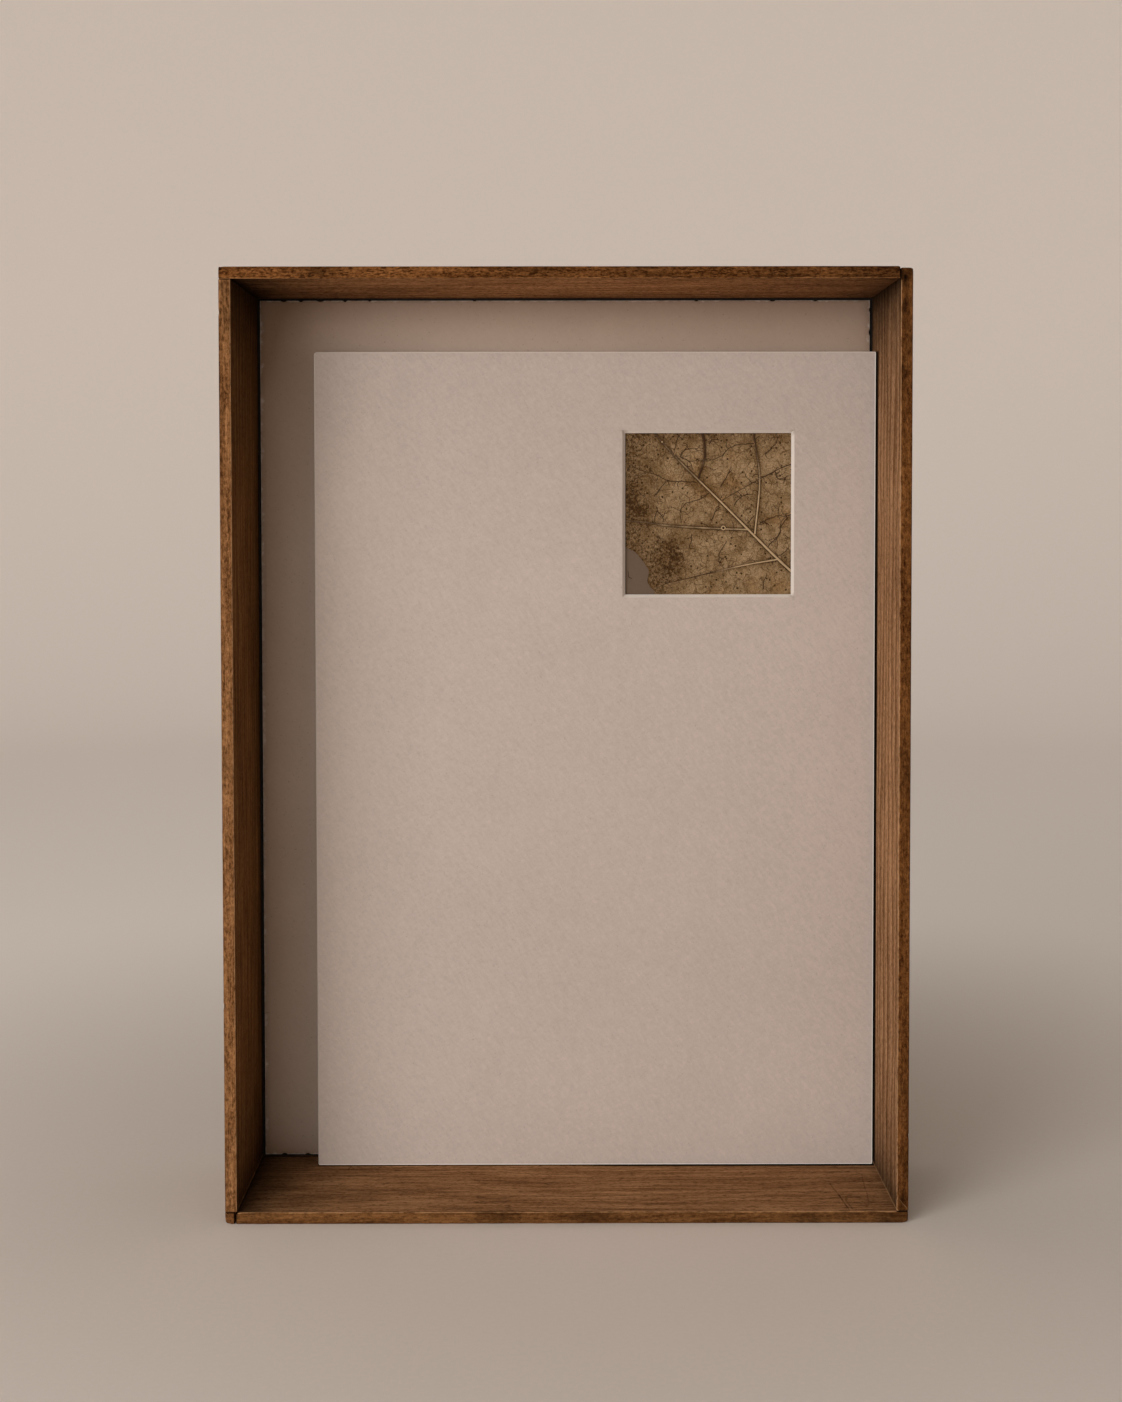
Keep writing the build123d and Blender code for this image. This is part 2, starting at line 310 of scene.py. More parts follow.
def newGroup(name, takes, gives, treeKind="ShaderNodeTree"):
    tree = bpy.data.node_groups.new(name, treeKind)
    for way, labels in (("INPUT", takes), ("OUTPUT", gives)):
        for label, kind in labels.items():
            tree.interface.new_socket(name=label, in_out=way, socket_type=socketKinds[kind])
    return tree, put(tree, "NodeGroupInput").outputs, put(tree, "NodeGroupOutput")


def giveOut(tree, result, values):
    for label, value in values.items():
        tree.links.new(value, result.inputs[label])
    return tree


def useGroup(tree, group, sockets):
    return put(tree, "ShaderNodeGroup", sockets, node_tree=group).outputs


def newMaterial(name, specular=0.5):
    material = bpy.data.materials.new(name)
    material.use_nodes = True
    tree = material.node_tree
    shader = tree.nodes["Principled BSDF"]
    shader.inputs["Specular IOR Level"].default_value = specular
    return material, tree, shader


def objectPlace(tree, turn=(0, 0, 0), shift=(0, 0, 0)):  # object coordinates in millimetres
    where = put(tree, "ShaderNodeTexCoord").outputs["Object"]
    turned = [math.radians(angle) for angle in turn]
    sockets = {"Vector": where, "Location": shift, "Rotation": turned, "Scale": [1 / mm] * 3}
    return put(tree, "ShaderNodeMapping", sockets).outputs[0]


def mask(tree, name):
    return put(tree, "ShaderNodeAttribute", attribute_name=name).outputs["Fac"]


def finish(tree, shader, colour, height, depth, roughness):
    # Colour, relief of `depth` mm and roughness to the material's shader.
    bump = put(tree, "ShaderNodeBump", {"Distance": depth * mm, "Height": height, "Strength": 1.0})
    tree.links.new(colour, shader.inputs["Base Color"])
    tree.links.new(bump.outputs[0], shader.inputs["Normal"])
    tree.links.new(roughness, shader.inputs["Roughness"])


# Shared effects, as node groups. All their lengths are in millimetres.

def makeGrainGroup():
    # Wood that grew round the Z axis of its coordinates: rings, streaks, fibres, pores and speckle.
    takes = {"Place": "vector", "Early": "colour", "Late": "colour", "Pore": "colour",
             "Ring Width": "number", "Rings": "number", "Streaks": "number", "Pores": "number",
             "Speckle": "number", "Blotches": "number", "Figure Length": "number", "Waver": "number"}
    gives = {"Colour": "colour", "Height": "number", "Roughness": "number"}
    tree, given, result = newGroup("wood grain", takes, gives)
    place = given["Place"]

    sway = driftAt(tree, place, (0.03, 0.03, 0.007), 2.0)
    bent = calcVector(tree, "ADD", place, calcVector(tree, "MULTIPLY", sway, (14, 14, 0)))
    radius = calcVector(tree, "LENGTH", calcVector(tree, "MULTIPLY", bent, (1, 1, 0)))
    uneven = times(tree, noiseAt(tree, bent, (0.10, 0.10, 0.004), 1.0)[0], given["Waver"])
    phase = calc(tree, "FRACT", calc(tree, "ADD", calc(tree, "DIVIDE", radius, given["Ring Width"]), uneven))
    late = times(tree, calc(tree, "POWER", phase, 2.0), spanned(tree, phase, 0.86, 1.0, 1.0, 0.0))
    late = times(tree, late, given["Rings"])

    broad = spanned(tree, noiseAt(tree, bent, (0.42, 0.42, 0.02), 3.0, 0.6)[0], 0.34, 0.66, -1.0, 1.0)
    fibre = noiseAt(tree, place, (1.3, 1.3, 0.05), 4.0, 0.65)[0]
    short = calc(tree, "DIVIDE", 1.0, given["Figure Length"])
    drawn = put(tree, "ShaderNodeCombineXYZ", {"X": 0.62, "Y": 0.62, "Z": short}).outputs[0]
    figure = spanned(tree, noiseAt(tree, bent, drawn, 3.0, 0.62, 0.7)[0], 0.57, 0.66)
    grains = noiseAt(tree, place, (0.85, 0.85, 0.5), 4.0, 0.75)[0]
    pores = spanned(tree, noiseAt(tree, place, (1.7, 1.7, 0.42), 1.0)[0], 0.58, 0.68)
    flecks = spanned(tree, noiseAt(tree, place, (0.9, 0.9, 0.22), 2.0)[0], 0.63, 0.70)
    dark = times(tree, calc(tree, "MAXIMUM", pores, flecks), given["Pores"])
    figured = times(tree, times(tree, figure, given["Streaks"]), 1.6)
    grouped = spanned(tree, noiseAt(tree, place, (0.09, 0.09, 0.03), 2.0)[0], 0.42, 0.56, 0.35, 1.25)
    figured = clamped(tree, times(tree, figured, grouped))
    blotch = noiseAt(tree, place, (0.05, 0.05, 0.018), 3.0, 0.6)[0]

    colour = mixed(tree, late, given["Early"], given["Late"])
    strands = calc(tree, "MULTIPLY_ADD", broad, given["Streaks"], 1.0)
    strands = raised(tree, strands, fibre, 1.1)
    strands = raised(tree, strands, grains, given["Speckle"])
    strands = raised(tree, strands, blotch, given["Blotches"])
    strands = calc(tree, "MAXIMUM", strands, 0.15)
    strands = calcVector(tree, "POWER", strands, (1.0, 1.15, 1.32))  # dark wood is redder than light wood
    colour = calcVector(tree, "MULTIPLY", colour, strands)
    colour = mixed(tree, times(tree, figured, 0.6), colour, given["Pore"])
    colour = mixed(tree, dark, colour, given["Pore"])

    height = calc(tree, "MULTIPLY_ADD", fibre, 0.7, times(tree, grains, 0.45))
    height = calc(tree, "MULTIPLY_ADD", broad, 0.10, height)
    height = calc(tree, "SUBTRACT", height, times(tree, calc(tree, "MAXIMUM", dark, figured), 0.8))
    roughness = spanned(tree, calc(tree, "ADD", fibre, dark), 0.3, 1.2, 0.74, 0.92)
    return giveOut(tree, result, {"Colour": colour, "Height": height, "Roughness": roughness})


def makeWearGroup():
    # Breaks a painted mask up into the patchy edge of a rubbed arris.
    takes = {"Place": "vector", "Mask": "number"}
    tree, given, result = newGroup("rubbed edge", takes, {"Rubbed": "number"})
    coarse = noiseAt(tree, given["Place"], 0.35, 3.0, 0.6)[0]
    ragged = raised(tree, given["Mask"], coarse, 1.1)
    faded = times(tree, spanned(tree, ragged, 0.25, 0.7), spanned(tree, given["Mask"], 0.02, 0.3))
    return giveOut(tree, result, {"Rubbed": faded})


def makeScratchGroup():
    # One straight scratch from Start to End, rough along its sides.
    takes = {"Place": "vector", "Start": "vector", "End": "vector", "Width": "number"}
    tree, given, result = newGroup("scratch", takes, {"Scratch": "number"})
    away = calcVector(tree, "SUBTRACT", given["Place"], given["Start"])
    run = calcVector(tree, "SUBTRACT", given["End"], given["Start"])
    reach = calcVector(tree, "DOT_PRODUCT", run, run)
    along = clamped(tree, calc(tree, "DIVIDE", calcVector(tree, "DOT_PRODUCT", away, run), reach))
    off = calcVector(tree, "LENGTH", calcVector(tree, "SUBTRACT", away, scaled(tree, run, along)))
    off = calc(tree, "DIVIDE", off, given["Width"])
    off = calc(tree, "MULTIPLY_ADD", noiseAt(tree, given["Place"], 0.8, 3.0, 0.7)[0], 2.2, off)
    return giveOut(tree, result, {"Scratch": spanned(tree, off, 0.9, 1.7, 1.0, 0.0)})


def makeCardGroup():
    # Felt-marked card: slanting soft marks, fine fibres, faint clouds and a few dark specks.
    takes = {"Place": "vector", "Colour": "colour", "Clouds": "number", "Marks": "number",
             "Fibres": "number", "Specks": "number"}
    gives = {"Colour": "colour", "Height": "number", "Roughness": "number"}
    tree, given, result = newGroup("card", takes, gives)
    place = given["Place"]
    turned = {}
    for name, angle in (("rising", 38), ("falling", -62)):
        sockets = {"Vector": place, "Rotation": (0, math.radians(angle), 0)}
        turned[name] = put(tree, "ShaderNodeMapping", sockets).outputs[0]
    rising = noiseAt(tree, turned["rising"], (0.75, 0.75, 0.28), 2.0, 0.5, 0.5)[0]
    falling = noiseAt(tree, turned["falling"], (0.9, 0.9, 0.4), 2.0, 0.5, 0.4)[0]
    fibres = noiseAt(tree, place, 1.7, 3.0, 0.72)[0]
    clouds = noiseAt(tree, place, 0.02, 3.0)[0]
    specks = spanned(tree, noiseAt(tree, place, 1.3, 0.0)[0], 0.80, 0.84)
    specks = times(tree, specks, given["Specks"])

    height = calc(tree, "MULTIPLY_ADD", falling, 0.7, rising)
    tone = raised(tree, 1.0, height, given["Marks"], 0.85)
    tone = raised(tree, tone, clouds, given["Clouds"])
    tone = raised(tree, tone, fibres, given["Fibres"])
    tone = calc(tree, "SUBTRACT", tone, times(tree, specks, 0.5))
    height = calc(tree, "MULTIPLY_ADD", fibres, 0.35, height)
    roughness = spanned(tree, fibres, 0.2, 0.8, 0.82, 0.95)
    colour = scaled(tree, given["Colour"], tone)
    return giveOut(tree, result, {"Colour": colour, "Height": height, "Roughness": roughness})


def makeWeaveGroup():
    # Plain weave in the XZ plane: which thread lies on top, and how high it stands.
    takes = {"Place": "vector", "Spacing": "number"}
    tree, given, result = newGroup("plain weave", takes, {"Thread": "number", "Tone": "number"})
    parts = split(tree, given["Place"])
    waves = []
    for axis in ("X", "Z"):
        turns = times(tree, calc(tree, "DIVIDE", parts[axis], given["Spacing"]), math.pi)
        waves.append(calc(tree, "SINE", turns))
    crossing = times(tree, *waves)
    height = calc(tree, "ABSOLUTE", crossing)
    slubs = noiseAt(tree, given["Place"], (0.5, 0.5, 6.0), 2.0)[0]
    tone = calc(tree, "MULTIPLY_ADD", crossing, 0.12, calc(tree, "MULTIPLY_ADD", slubs, 0.3, 0.85))
    return giveOut(tree, result, {"Thread": height, "Tone": tone})


grainGroup = makeGrainGroup()
wearGroup = makeWearGroup()
scratchGroup = makeScratchGroup()
cardGroup = makeCardGroup()
weaveGroup = makeWeaveGroup()
print("node groups made")


# Boards of the case

closeRows = [0, 0.12, 0.26, 0.42, 0.62, 0.9, 1.3, 1.9, 2.7]

boardSizes = {
    "rowStep": 1.1,         # along each board
    "depthStep": 3.2,
    "arris": 0.28,          # rounding where no other is given
    "frontArris": 0.5,
    "leastArris": 0.12,
    "rubbedWidth": 0.42,
    "footWidth": 1.0,
    "endWave": 0.16,        # how uneven the sawn ends are
    "faceWave": 0.1,
    "waveReach": 2.5,
    "stainStretch": 2.5,    # how much longer a stain is along the grain
    "grainDepth": 0.2,
    "gloss": 0.015,
    "pith": (60, 150, 0),   # where the tree's middle was
    "pithStep": (9, 5, 37),     # and how far it shifts with each seed
    "rebateEase": 0.25,
}

plainBoard = {  # what a board has where its own values say nothing else
    "pores": 0.6, "blotches": 0.8, "waver": 2.0,
    "fade": (1.0, 1.0),     # brightness at its two ends
    "rounds": {}, "nicks": [], "stains": [], "scratches": [],
}

# For each board: the way it runs, its inner side, its colours (early and late wood, outside and inside), its
# figure, which edges are rubbed pale (or dark, below zero), and its marks. A nick is a place, a size and a
# depth. A stain lies on the front and is x, z, a reach and an amount. A scratch is a start, an end, a width
# and a lightness. `joint` says from where on one of its edges is a dark joint.
boardKinds = {
    "top_board": {
        "along": "x", "inside": "z-", "seed": 3,
        "face": ((0.122, 0.047, 0.0135), (0.070, 0.025, 0.006)),
        "inner": ((0.420, 0.204, 0.086), (0.235, 0.102, 0.038)),
        "pore": (0.036, 0.012, 0.003), "bare": (0.26, 0.125, 0.05),
        "ringWidth": 5.0, "rings": 0.8, "streaks": 0.20, "pores": 0.95, "speckle": 3.8, "figure": 16.0,
        "fade": (1.35, 0.85),
        "rounds": {("x+", "z+"): 0.9},
        "rubs": {("y-", "z-"): 0.7, ("y-", "z+"): 0.3, ("x-", "y-"): 0.3, ("x+", "y-"): -0.9},
        "nicks": [((-154.6, -42.3, 432.7), 1.5, 0.8), ((148.6, -42.3, 427.9), 1.0, 0.3)],
        "stains": [
            (-110.0, 430.5, 4.5, 0.5), (-12.0, 430.0, 5.0, 0.35), (36.0, 431.5, 5.0, 0.3),
            (96.0, 430.0, 4.0, 0.35), (147.0, 431.5, 3.5, 0.45), (131.0, 429.5, 3.0, 0.3),
        ],
    },
    "right_board": {
        "along": "z", "inside": "x-", "seed": 8,
        "face": ((0.136, 0.052, 0.0145), (0.072, 0.025, 0.0055)),
        "inner": ((0.410, 0.222, 0.110), (0.185, 0.076, 0.026)),
        "pore": (0.050, 0.018, 0.005), "bare": (0.38, 0.215, 0.105),
        "ringWidth": 5.2, "rings": 1.25, "streaks": 0.14, "speckle": 3.4, "figure": 45.0, "waver": 0.45,
        "joint": ("z", 427.4, ("x-", "y-")),
        "rounds": {("x+", "z+"): 0.9},
        "rubs": {("x-", "y-"): 0.75, ("x+", "y-"): -0.35, ("x-", "z-"): 0.95, ("y-", "z+"): 0.3,
                 ("y-", "z-"): -1.0},
        "nicks": [((150.2, -42.3, 12.0), 1.2, 0.5), ((155.2, -42.3, 40.0), 1.4, 0.4),
                  ((150.1, -42.3, 22.0), 0.9, 0.3), ((150.0, -42.3, 430.6), 3.6, 0.12)],
        "stains": [
            (152.6, 430.0, 4.0, 0.65), (151.2, 415.0, 3.5, 0.5), (154.4, 401.0, 3.0, 0.4),
            (151.0, 386.0, 3.0, 0.35), (152.6, 9.0, 3.5, 0.5), (154.6, 24.0, 3.0, 0.4),
            (151.6, 62.0, 4.0, 0.3), (153.6, 205.0, 5.0, 0.25),
        ],
        "scratches": [((151.4, -42.5, 10.6), (155.2, -42.5, 6.0), 0.42, 0.8)],
    },
    "bottom_board": {
        "along": "x", "inside": "z+", "seed": 12,
        "face": ((0.141, 0.060, 0.0192), (0.088, 0.034, 0.0100)),
        "inner": ((0.350, 0.176, 0.077), (0.225, 0.107, 0.043)),
        "pore": (0.060, 0.023, 0.007), "bare": (0.36, 0.19, 0.085),
        "ringWidth": 9.0, "rings": 0.5, "streaks": 0.27, "speckle": 2.1, "figure": 12.0,
        "fade": (1.08, 0.85),
        "joint": ("x", 150.0, ("y-", "z+")),
        "rounds": {("x+", "z-"): 1.4, ("x-", "z+"): 1.4},
        "rubs": {("y-", "z+"): 0.7, ("y-", "z-"): -0.3, ("x+", "y-"): 0.2, ("x-", "y-"): -1.0},
        "nicks": [((20.0, -42.3, 5.2), 1.4, 0.4), ((-84.0, -42.3, 2.4), 0.8, 0.35),
                  ((60.0, -42.3, 5.2), 1.1, 0.25)],
        "stains": [
            (112.0, 2.0, 3.5, 0.45), (128.0, 3.2, 3.0, 0.4), (146.0, 1.6, 3.5, 0.5),
            (-30.0, 3.6, 4.0, 0.35), (10.0, 3.0, 5.0, 0.3), (-140.0, 3.0, 4.0, 0.25),
        ],
        "scratches": [
            ((124.8, -4.0, 5.4), (127.6, -27.0, 5.4), 0.9, -0.6),
            ((126.9, -21.0, 5.4), (128.8, -41.6, 5.4), 0.9, -0.9),
            ((129.0, -27.0, 5.4), (130.6, -40.0, 5.4), 0.8, -0.7),
            ((141.9, 7.0, 5.4), (140.4, -14.0, 5.4), 0.9, -0.5),
            ((140.6, -16.0, 5.4), (139.2, -31.3, 5.4), 0.8, -0.6),
            ((70.1, -8.2, 5.4), (93.3, -3.4, 5.4), 0.6, 0.6),
            ((89.5, -31.8, 5.4), (103.8, -29.9, 5.4), 0.6, 0.6),
            ((-104.7, 20.1, 5.4), (-105.7, 15.0, 5.4), 0.7, -0.9),
            ((-89.0, -32.9, 5.4), (-88.3, -32.3, 5.4), 1.0, -1.0),
            ((-150.4, -23.4, 5.4), (-131.3, -24.7, 5.4), 0.6, -0.9),
            ((-128.8, -25.7, 5.4), (-112.5, -31.5, 5.4), 0.5, -0.8),
            ((-72.9, -16.0, 5.4), (-62.3, -13.3, 5.4), 0.6, -0.7),
        ],
    },
    "left_board": {
        "along": "z", "inside": "x+", "seed": 17,
        "face": ((0.204, 0.092, 0.0345), (0.135, 0.056, 0.0185)),
        # Its inner colours are darkened as painted shade, for the shadow its inner face stands in.
        "inner": ((0.185, 0.086, 0.0285), (0.075, 0.031, 0.0085)),
        "pore": (0.060, 0.022, 0.006), "bare": (0.38, 0.21, 0.10),
        "ringWidth": 6.0, "rings": 0.9, "streaks": 0.24, "speckle": 3.1, "figure": 30.0,
        "rubs": {("x+", "y-"): 0.75, ("x-", "y-"): -0.3, ("x+", "z-"): 0.7, ("y-", "z+"): -1.0,
                 ("y-", "z-"): -0.8},
        "nicks": [((-155.2, -42.3, 413.0), 1.5, 0.5), ((-155.2, -42.3, 100.0), 1.6, 0.35),
                  ((-152.0, -42.4, 419.9), 0.8, 0.2)],
        "stains": [(-153.0, 424.0, 3.0, 0.5), (-152.0, 410.0, 3.5, 0.3), (-154.0, 210.0, 4.0, 0.2)],
    },
    "corner_strip": {
        "along": "y", "inside": None, "seed": 23,
        "face": ((0.175, 0.074, 0.026), (0.085, 0.033, 0.010)),
        "inner": ((0.175, 0.074, 0.026), (0.085, 0.033, 0.010)),
        "pore": (0.030, 0.010, 0.003), "bare": (0.30, 0.155, 0.066),
        "ringWidth": 1.7, "rings": 0.9, "streaks": 0.2, "pores": 0.9, "speckle": 1.8, "figure": 10.0,
        "rounds": {("x-", "z-"): 1.4},
        "rubs": {("x-", "y-"): 0.3, ("x+", "y-"): -1.0, ("y-", "z+"): -0.8},
    },
}

hollow = {  # the inside of the case, where the mat stands in it, and the painted shade that darkens its wood
    "side": 150.0, "floor": 5.4, "ceiling": 427.8, "front": -42.5, "back": 35.1,
    "matLeft": -120.5, "matFront": 21.9, "matTop": 400.4,
    "corners": {  # for each inner face: how much painted shade it gets beside its neighbours, and how far that reaches
        "z+": {"x-": (0.92, 30.0), "x+": (0.3, 4.0), "y+": (0.4, 4.0)},
        "z-": {"x-": (0.98, 42.0), "x+": (0.55, 18.0), "y+": (0.4, 4.0)},
        "x+": {"z+": (0.8, 38.0), "z-": (0.75, 26.0), "y+": (0.5, 5.0)},
        "x-": {"z+": (0.9, 32.0), "z-": (0.82, 24.0), "y+": (0.4, 4.0)},
    },
    "underMatShade": 0.96,         # painted shade just behind the mat's front, where the insert hides the wood
    "underMatShadeFade": 0.68,     # how much of that painted shade is gone further back
    "behind": 0.93,         # painted shade at the lining board's edge and behind it
    "rows": [17.2, 18.3, 19.4, 20.6, 21.9, 22.8, 34.6, 35.4, 36.1],    # extra rows from front to back
}

grainTurns = {"x": (0, -90, 0), "y": (90, 0, 0), "z": (0, 0, 0)}


def growWood(tree, place, wood, early, late, rings, speckle):
    sockets = {"Place": place, "Early": early, "Late": late, "Pore": wood["pore"],
               "Ring Width": wood["ringWidth"], "Rings": rings, "Streaks": wood["streaks"],
               "Pores": wood["pores"], "Speckle": speckle, "Blotches": wood["blotches"],
               "Figure Length": wood["figure"], "Waver": wood["waver"]}
    return useGroup(tree, grainGroup, sockets)


def boardMaterial(name, board):
    material, tree, shader = newMaterial(name.replace("_", " ") + " wood", boardSizes["gloss"])
    pith = [start + step * board["seed"] for start, step in zip(boardSizes["pith"], boardSizes["pithStep"])]
    grown = objectPlace(tree, grainTurns[board["along"]], pith)
    place = objectPlace(tree)
    stainAndShade = mask(tree, "stainAndShade")
    early, late = [mixed(tree, stainAndShade, *shades) for shades in zip(board["inner"], board["face"])]
    rings = times(tree, board["rings"], spanned(tree, stainAndShade, 0, 1, 1.0, 0.5))
    speckle = times(tree, board["speckle"], spanned(tree, stainAndShade, 0, 1, 0.6, 1.0))
    grain = growWood(tree, grown, board, early, late, rings, speckle)

    low, high = boxOf(name)
    axis = "xyz".index(board["along"])
    along = split(tree, place)[axis]
    sockets = {0: along, 1: low[axis], 2: high[axis], 3: board["fade"][0], 4: board["fade"][1]}
    colour = scaled(tree, grain["Colour"], put(tree, "ShaderNodeMapRange", sockets).outputs[0])
    rubbed = useGroup(tree, wearGroup, {"Place": grown, "Mask": mask(tree, "rubbed")})["Rubbed"]
    bare = scaled(tree, board["bare"], calc(tree, "MULTIPLY_ADD", grain["Height"], 0.7, 0.6))
    colour = mixed(tree, rubbed, colour, bare)
    height = grain["Height"]
    for start, end, width, light in board["scratches"]:
        sockets = {"Place": place, "Start": start, "End": end, "Width": width}
        cut = useGroup(tree, scratchGroup, sockets)["Scratch"]
        tint = board["bare" if light > 0 else "pore"]
        colour = mixed(tree, times(tree, cut, abs(light)), colour, tint)
        height = calc(tree, "SUBTRACT", height, times(tree, cut, 0.8))
    # Darkened by stains, dark joints and nicks, and by painted shade in the inner corners.
    colour = scaled(tree, colour, calc(tree, "SUBTRACT", 1.0, mask(tree, "grimeAndShade")))
    finish(tree, shader, colour, height, boardSizes["grainDepth"], grain["Roughness"])
    return material


def sideGap(point, side, low, high):  # distance from a point to one side of its board
    axis = "xyz".index(side[0])
    return high[axis] - point[axis] if side[1] == "+" else point[axis] - low[axis]


def roundedPoint(point, low, high, radius):
    inner = Vector([min(max(point[axis], low[axis] + radius), high[axis] - radius) for axis in range(3)])
    return inner + (point - inner).normalized() * radius


def paintedCornerShade(point, inside):
    # Painted shade darkens the inner corners, and most of all where the sheets hide the wood.
    gaps = {"x-": point.x + hollow["side"], "x+": hollow["side"] - point.x, "z-": point.z - hollow["floor"],
            "z+": hollow["ceiling"] - point.z, "y+": hollow["back"] - point.y}
    paintedShade = 0
    for side, (amount, reach) in hollow["corners"][inside].items():
        reach *= 1 + 0.4 * wander(point, 12, 5)
        paintedShade = max(paintedShade, amount * math.exp(-max(0, gaps[side]) / reach))
    if inside in ("x-", "z+") and point.x > hollow["matLeft"] and point.z < hollow["matTop"]:
        start = hollow["matFront"] - (4.6 if inside == "x-" else 0.6 + 1.8 * ease(point.x, -60, 60))
        faded = hollow["underMatShadeFade"] * ease(point.y, hollow["matFront"] + 3.0, hollow["matFront"] + 9.0)
        paintedShade = max(paintedShade, hollow["underMatShade"] * (1 - faded) * ease(point.y, start, start + 0.9))
    return max(paintedShade, hollow["behind"] * ease(point.y, hollow["back"] - 0.5, hollow["back"] + 1.0))


def shapedPoint(point, board, low, high):
    # Where a point of the plain box ends up: rounded edges, uneven faces and nicks.
    seed = board["seed"]
    front = sideGap(point, "y-", low, high)
    arris, frontArris = boardSizes["arris"], boardSizes["frontArris"]
    radius = arris + (frontArris - arris) * (1 - ease(front, 0.6, 1.3))
    for sides, size in board["rounds"].items():
        closeness = 1
        for side in sides:
            closeness *= 1 - ease(sideGap(point, side, low, high), size, 2.2 * size)
        radius += (size - radius) * closeness
    radius *= 1 + 0.45 * wander(point, 7, seed) + 0.2 * wander(point, 2.2, seed)
    moved = roundedPoint(point, low, high, max(boardSizes["leastArris"], radius))

    centre = (low + high) / 2
    alongAxis = "xyz".index(board["along"])
    waves = [0, boardSizes["faceWave"], 0]
    waves[alongAxis] = boardSizes["endWave"]
    for axis, wave in enumerate(waves):  # sawn ends and long faces are never quite flat
        gap = min(point[axis] - low[axis], high[axis] - point[axis])
        reached = 1 - ease(gap, 0, boardSizes["waveReach"])
        inward = wave * (0.5 + 0.5 * wander(point, 5, seed + 2)) * reached
        moved[axis] += inward if point[axis] < centre[axis] else -inward
    for place, size, depth in board["nicks"]:
        off = (point - Vector(place)).length / size
        if off < 1:
            inward = Vector((centre.x - point.x, 0, centre.z - point.z))
            inward[alongAxis] = 0
            inward = inward.normalized() + Vector((0, 0.7 if front < 3 else 0, 0))
            moved += inward * depth * (1 - off * off) ** 2
    return moved


def boardMasks(point, board, low, high):
    # How far a point is rubbed, stained, and darkened by dirt and painted shade.
    seed = board["seed"]
    rubbed = grimeAndShade = 0
    for sides, amount in board["rubs"].items():
        off = math.hypot(*(sideGap(point, side, low, high) for side in sides))
        axis, start, edge = board.get("joint", ("x", 0, None))
        if sides == edge and point["xyz".index(axis)] > start:
            amount = -1.0
        isFoot = sides[0][0] == "x" and sides[1] == "z-"
        reach = boardSizes["footWidth" if isFoot else "rubbedWidth"]
        worn = amount * math.exp(-((off / reach) ** 2)) * (1 + 0.5 * wander(point, 8, seed + 6))
        rubbed, grimeAndShade = max(rubbed, worn), max(grimeAndShade, -worn)
    inside = board["inside"]
    isBehindFront = sideGap(point, "y-", low, high) > 0.4
    isInner = inside and sideGap(point, inside, low, high) < 0.01 and isBehindFront
    if isInner:
        grimeAndShade = max(grimeAndShade, paintedCornerShade(point, inside))
    for place, size, depth in board["nicks"]:
        grimeAndShade = max(grimeAndShade, 0.9 - (point - Vector(place)).length / size)
    for stainX, stainZ, reach, amount in board["stains"]:
        off = point - Vector((stainX, hollow["front"], stainZ))
        off["xyz".index(board["along"])] /= boardSizes["stainStretch"]
        patchy = 1 + 0.9 * wander(point, 2.4, seed + 4)
        grimeAndShade = max(grimeAndShade, amount * patchy * math.exp(-((off.length / reach) ** 2)))
    return rubbed, 0 if isInner else 1, max(0, grimeAndShade * (1 - 0.8 * rubbed))


def boardRows(low, high, along):
    rows = []
    for axis in range(3):
        isLong = "xyz"[axis] == along and along != "y"
        step = boardSizes["rowStep" if isLong else "depthStep"]
        rows.append(rowsBetween(low[axis], high[axis], step, closeRows))
    depths = [y for y in rows[1] if min(abs(y - row) for row in hollow["rows"]) > 0.3]
    rows[1] = sorted(depths + hollow["rows"])
    return rows


def makeBoard(name, board, cuts):
    low, high = boxOf(name)
    points, faces = boxSurface(boardRows(low, high, board["along"]))
    moved = [shapedPoint(point, board, low, high) for point in points]
    worn = zip(*(boardMasks(point, board, low, high) for point in points))
    masks = dict(zip(("rubbed", "stainAndShade", "grimeAndShade"), worn))
    made = makeObject(name + "_wood", moved, faces, [boardMaterial(name, board)], masks)
    for cut in cuts:
        cutAway(made, cut)
    keepSharp(made, 38)
    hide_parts(name)
    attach(made, "case")


# Pins. Each row gives where the wood's face is and which way is out of the wood.

pins = {
    "headDiameter": 2.0, "headHeight": 0.6, "shankDiameter": 1.2, "length": 15.0, "point": 1.2,
    "set": 0.3,             # heads are punched this far below the wood
    "backLength": 11.0,
    "holeEase": 0.03,
    "pitch": 28.0,
    "backInset": 24.0,      # first pin from the end of its row
    "backRows": (5, 3),     # pins up each side of the back panel, and along its top and foot
    "tilt": 2.0,            # degrees
    "seed": 4,
    "segments": 20,
    "clear": 1.0,           # how far a cutter stands out of the wood
    "steel": (0.34, 0.32, 0.30), "rust": (0.13, 0.06, 0.03), "relief": 0.05,
}

topLow, topHigh = boxOf("top_board")
panelLow, panelHigh = boxOf("back_panel")
thickness = topHigh.z - topLow.z
sidePinX = caseHigh.x - thickness / 2
rebateWall = {"x": panelHigh.x + boardSizes["rebateEase"], "z": panelHigh.z + boardSizes["rebateEase"]}
cornerDepths = [-pins["pitch"], 0, pins["pitch"]]
footDepths = [-pins["pitch"] / 2, pins["pitch"] / 2]
openingX = boxOf("right_board")[0].x
openingZ = (topLow.z - (caseLow.z + thickness)) / 2
middleZ = (caseLow.z + caseHigh.z) / 2
rebatePinX = (openingX + rebateWall["x"]) / 2
rebatePinZ = (openingZ + rebateWall["z"] - middleZ) / 2

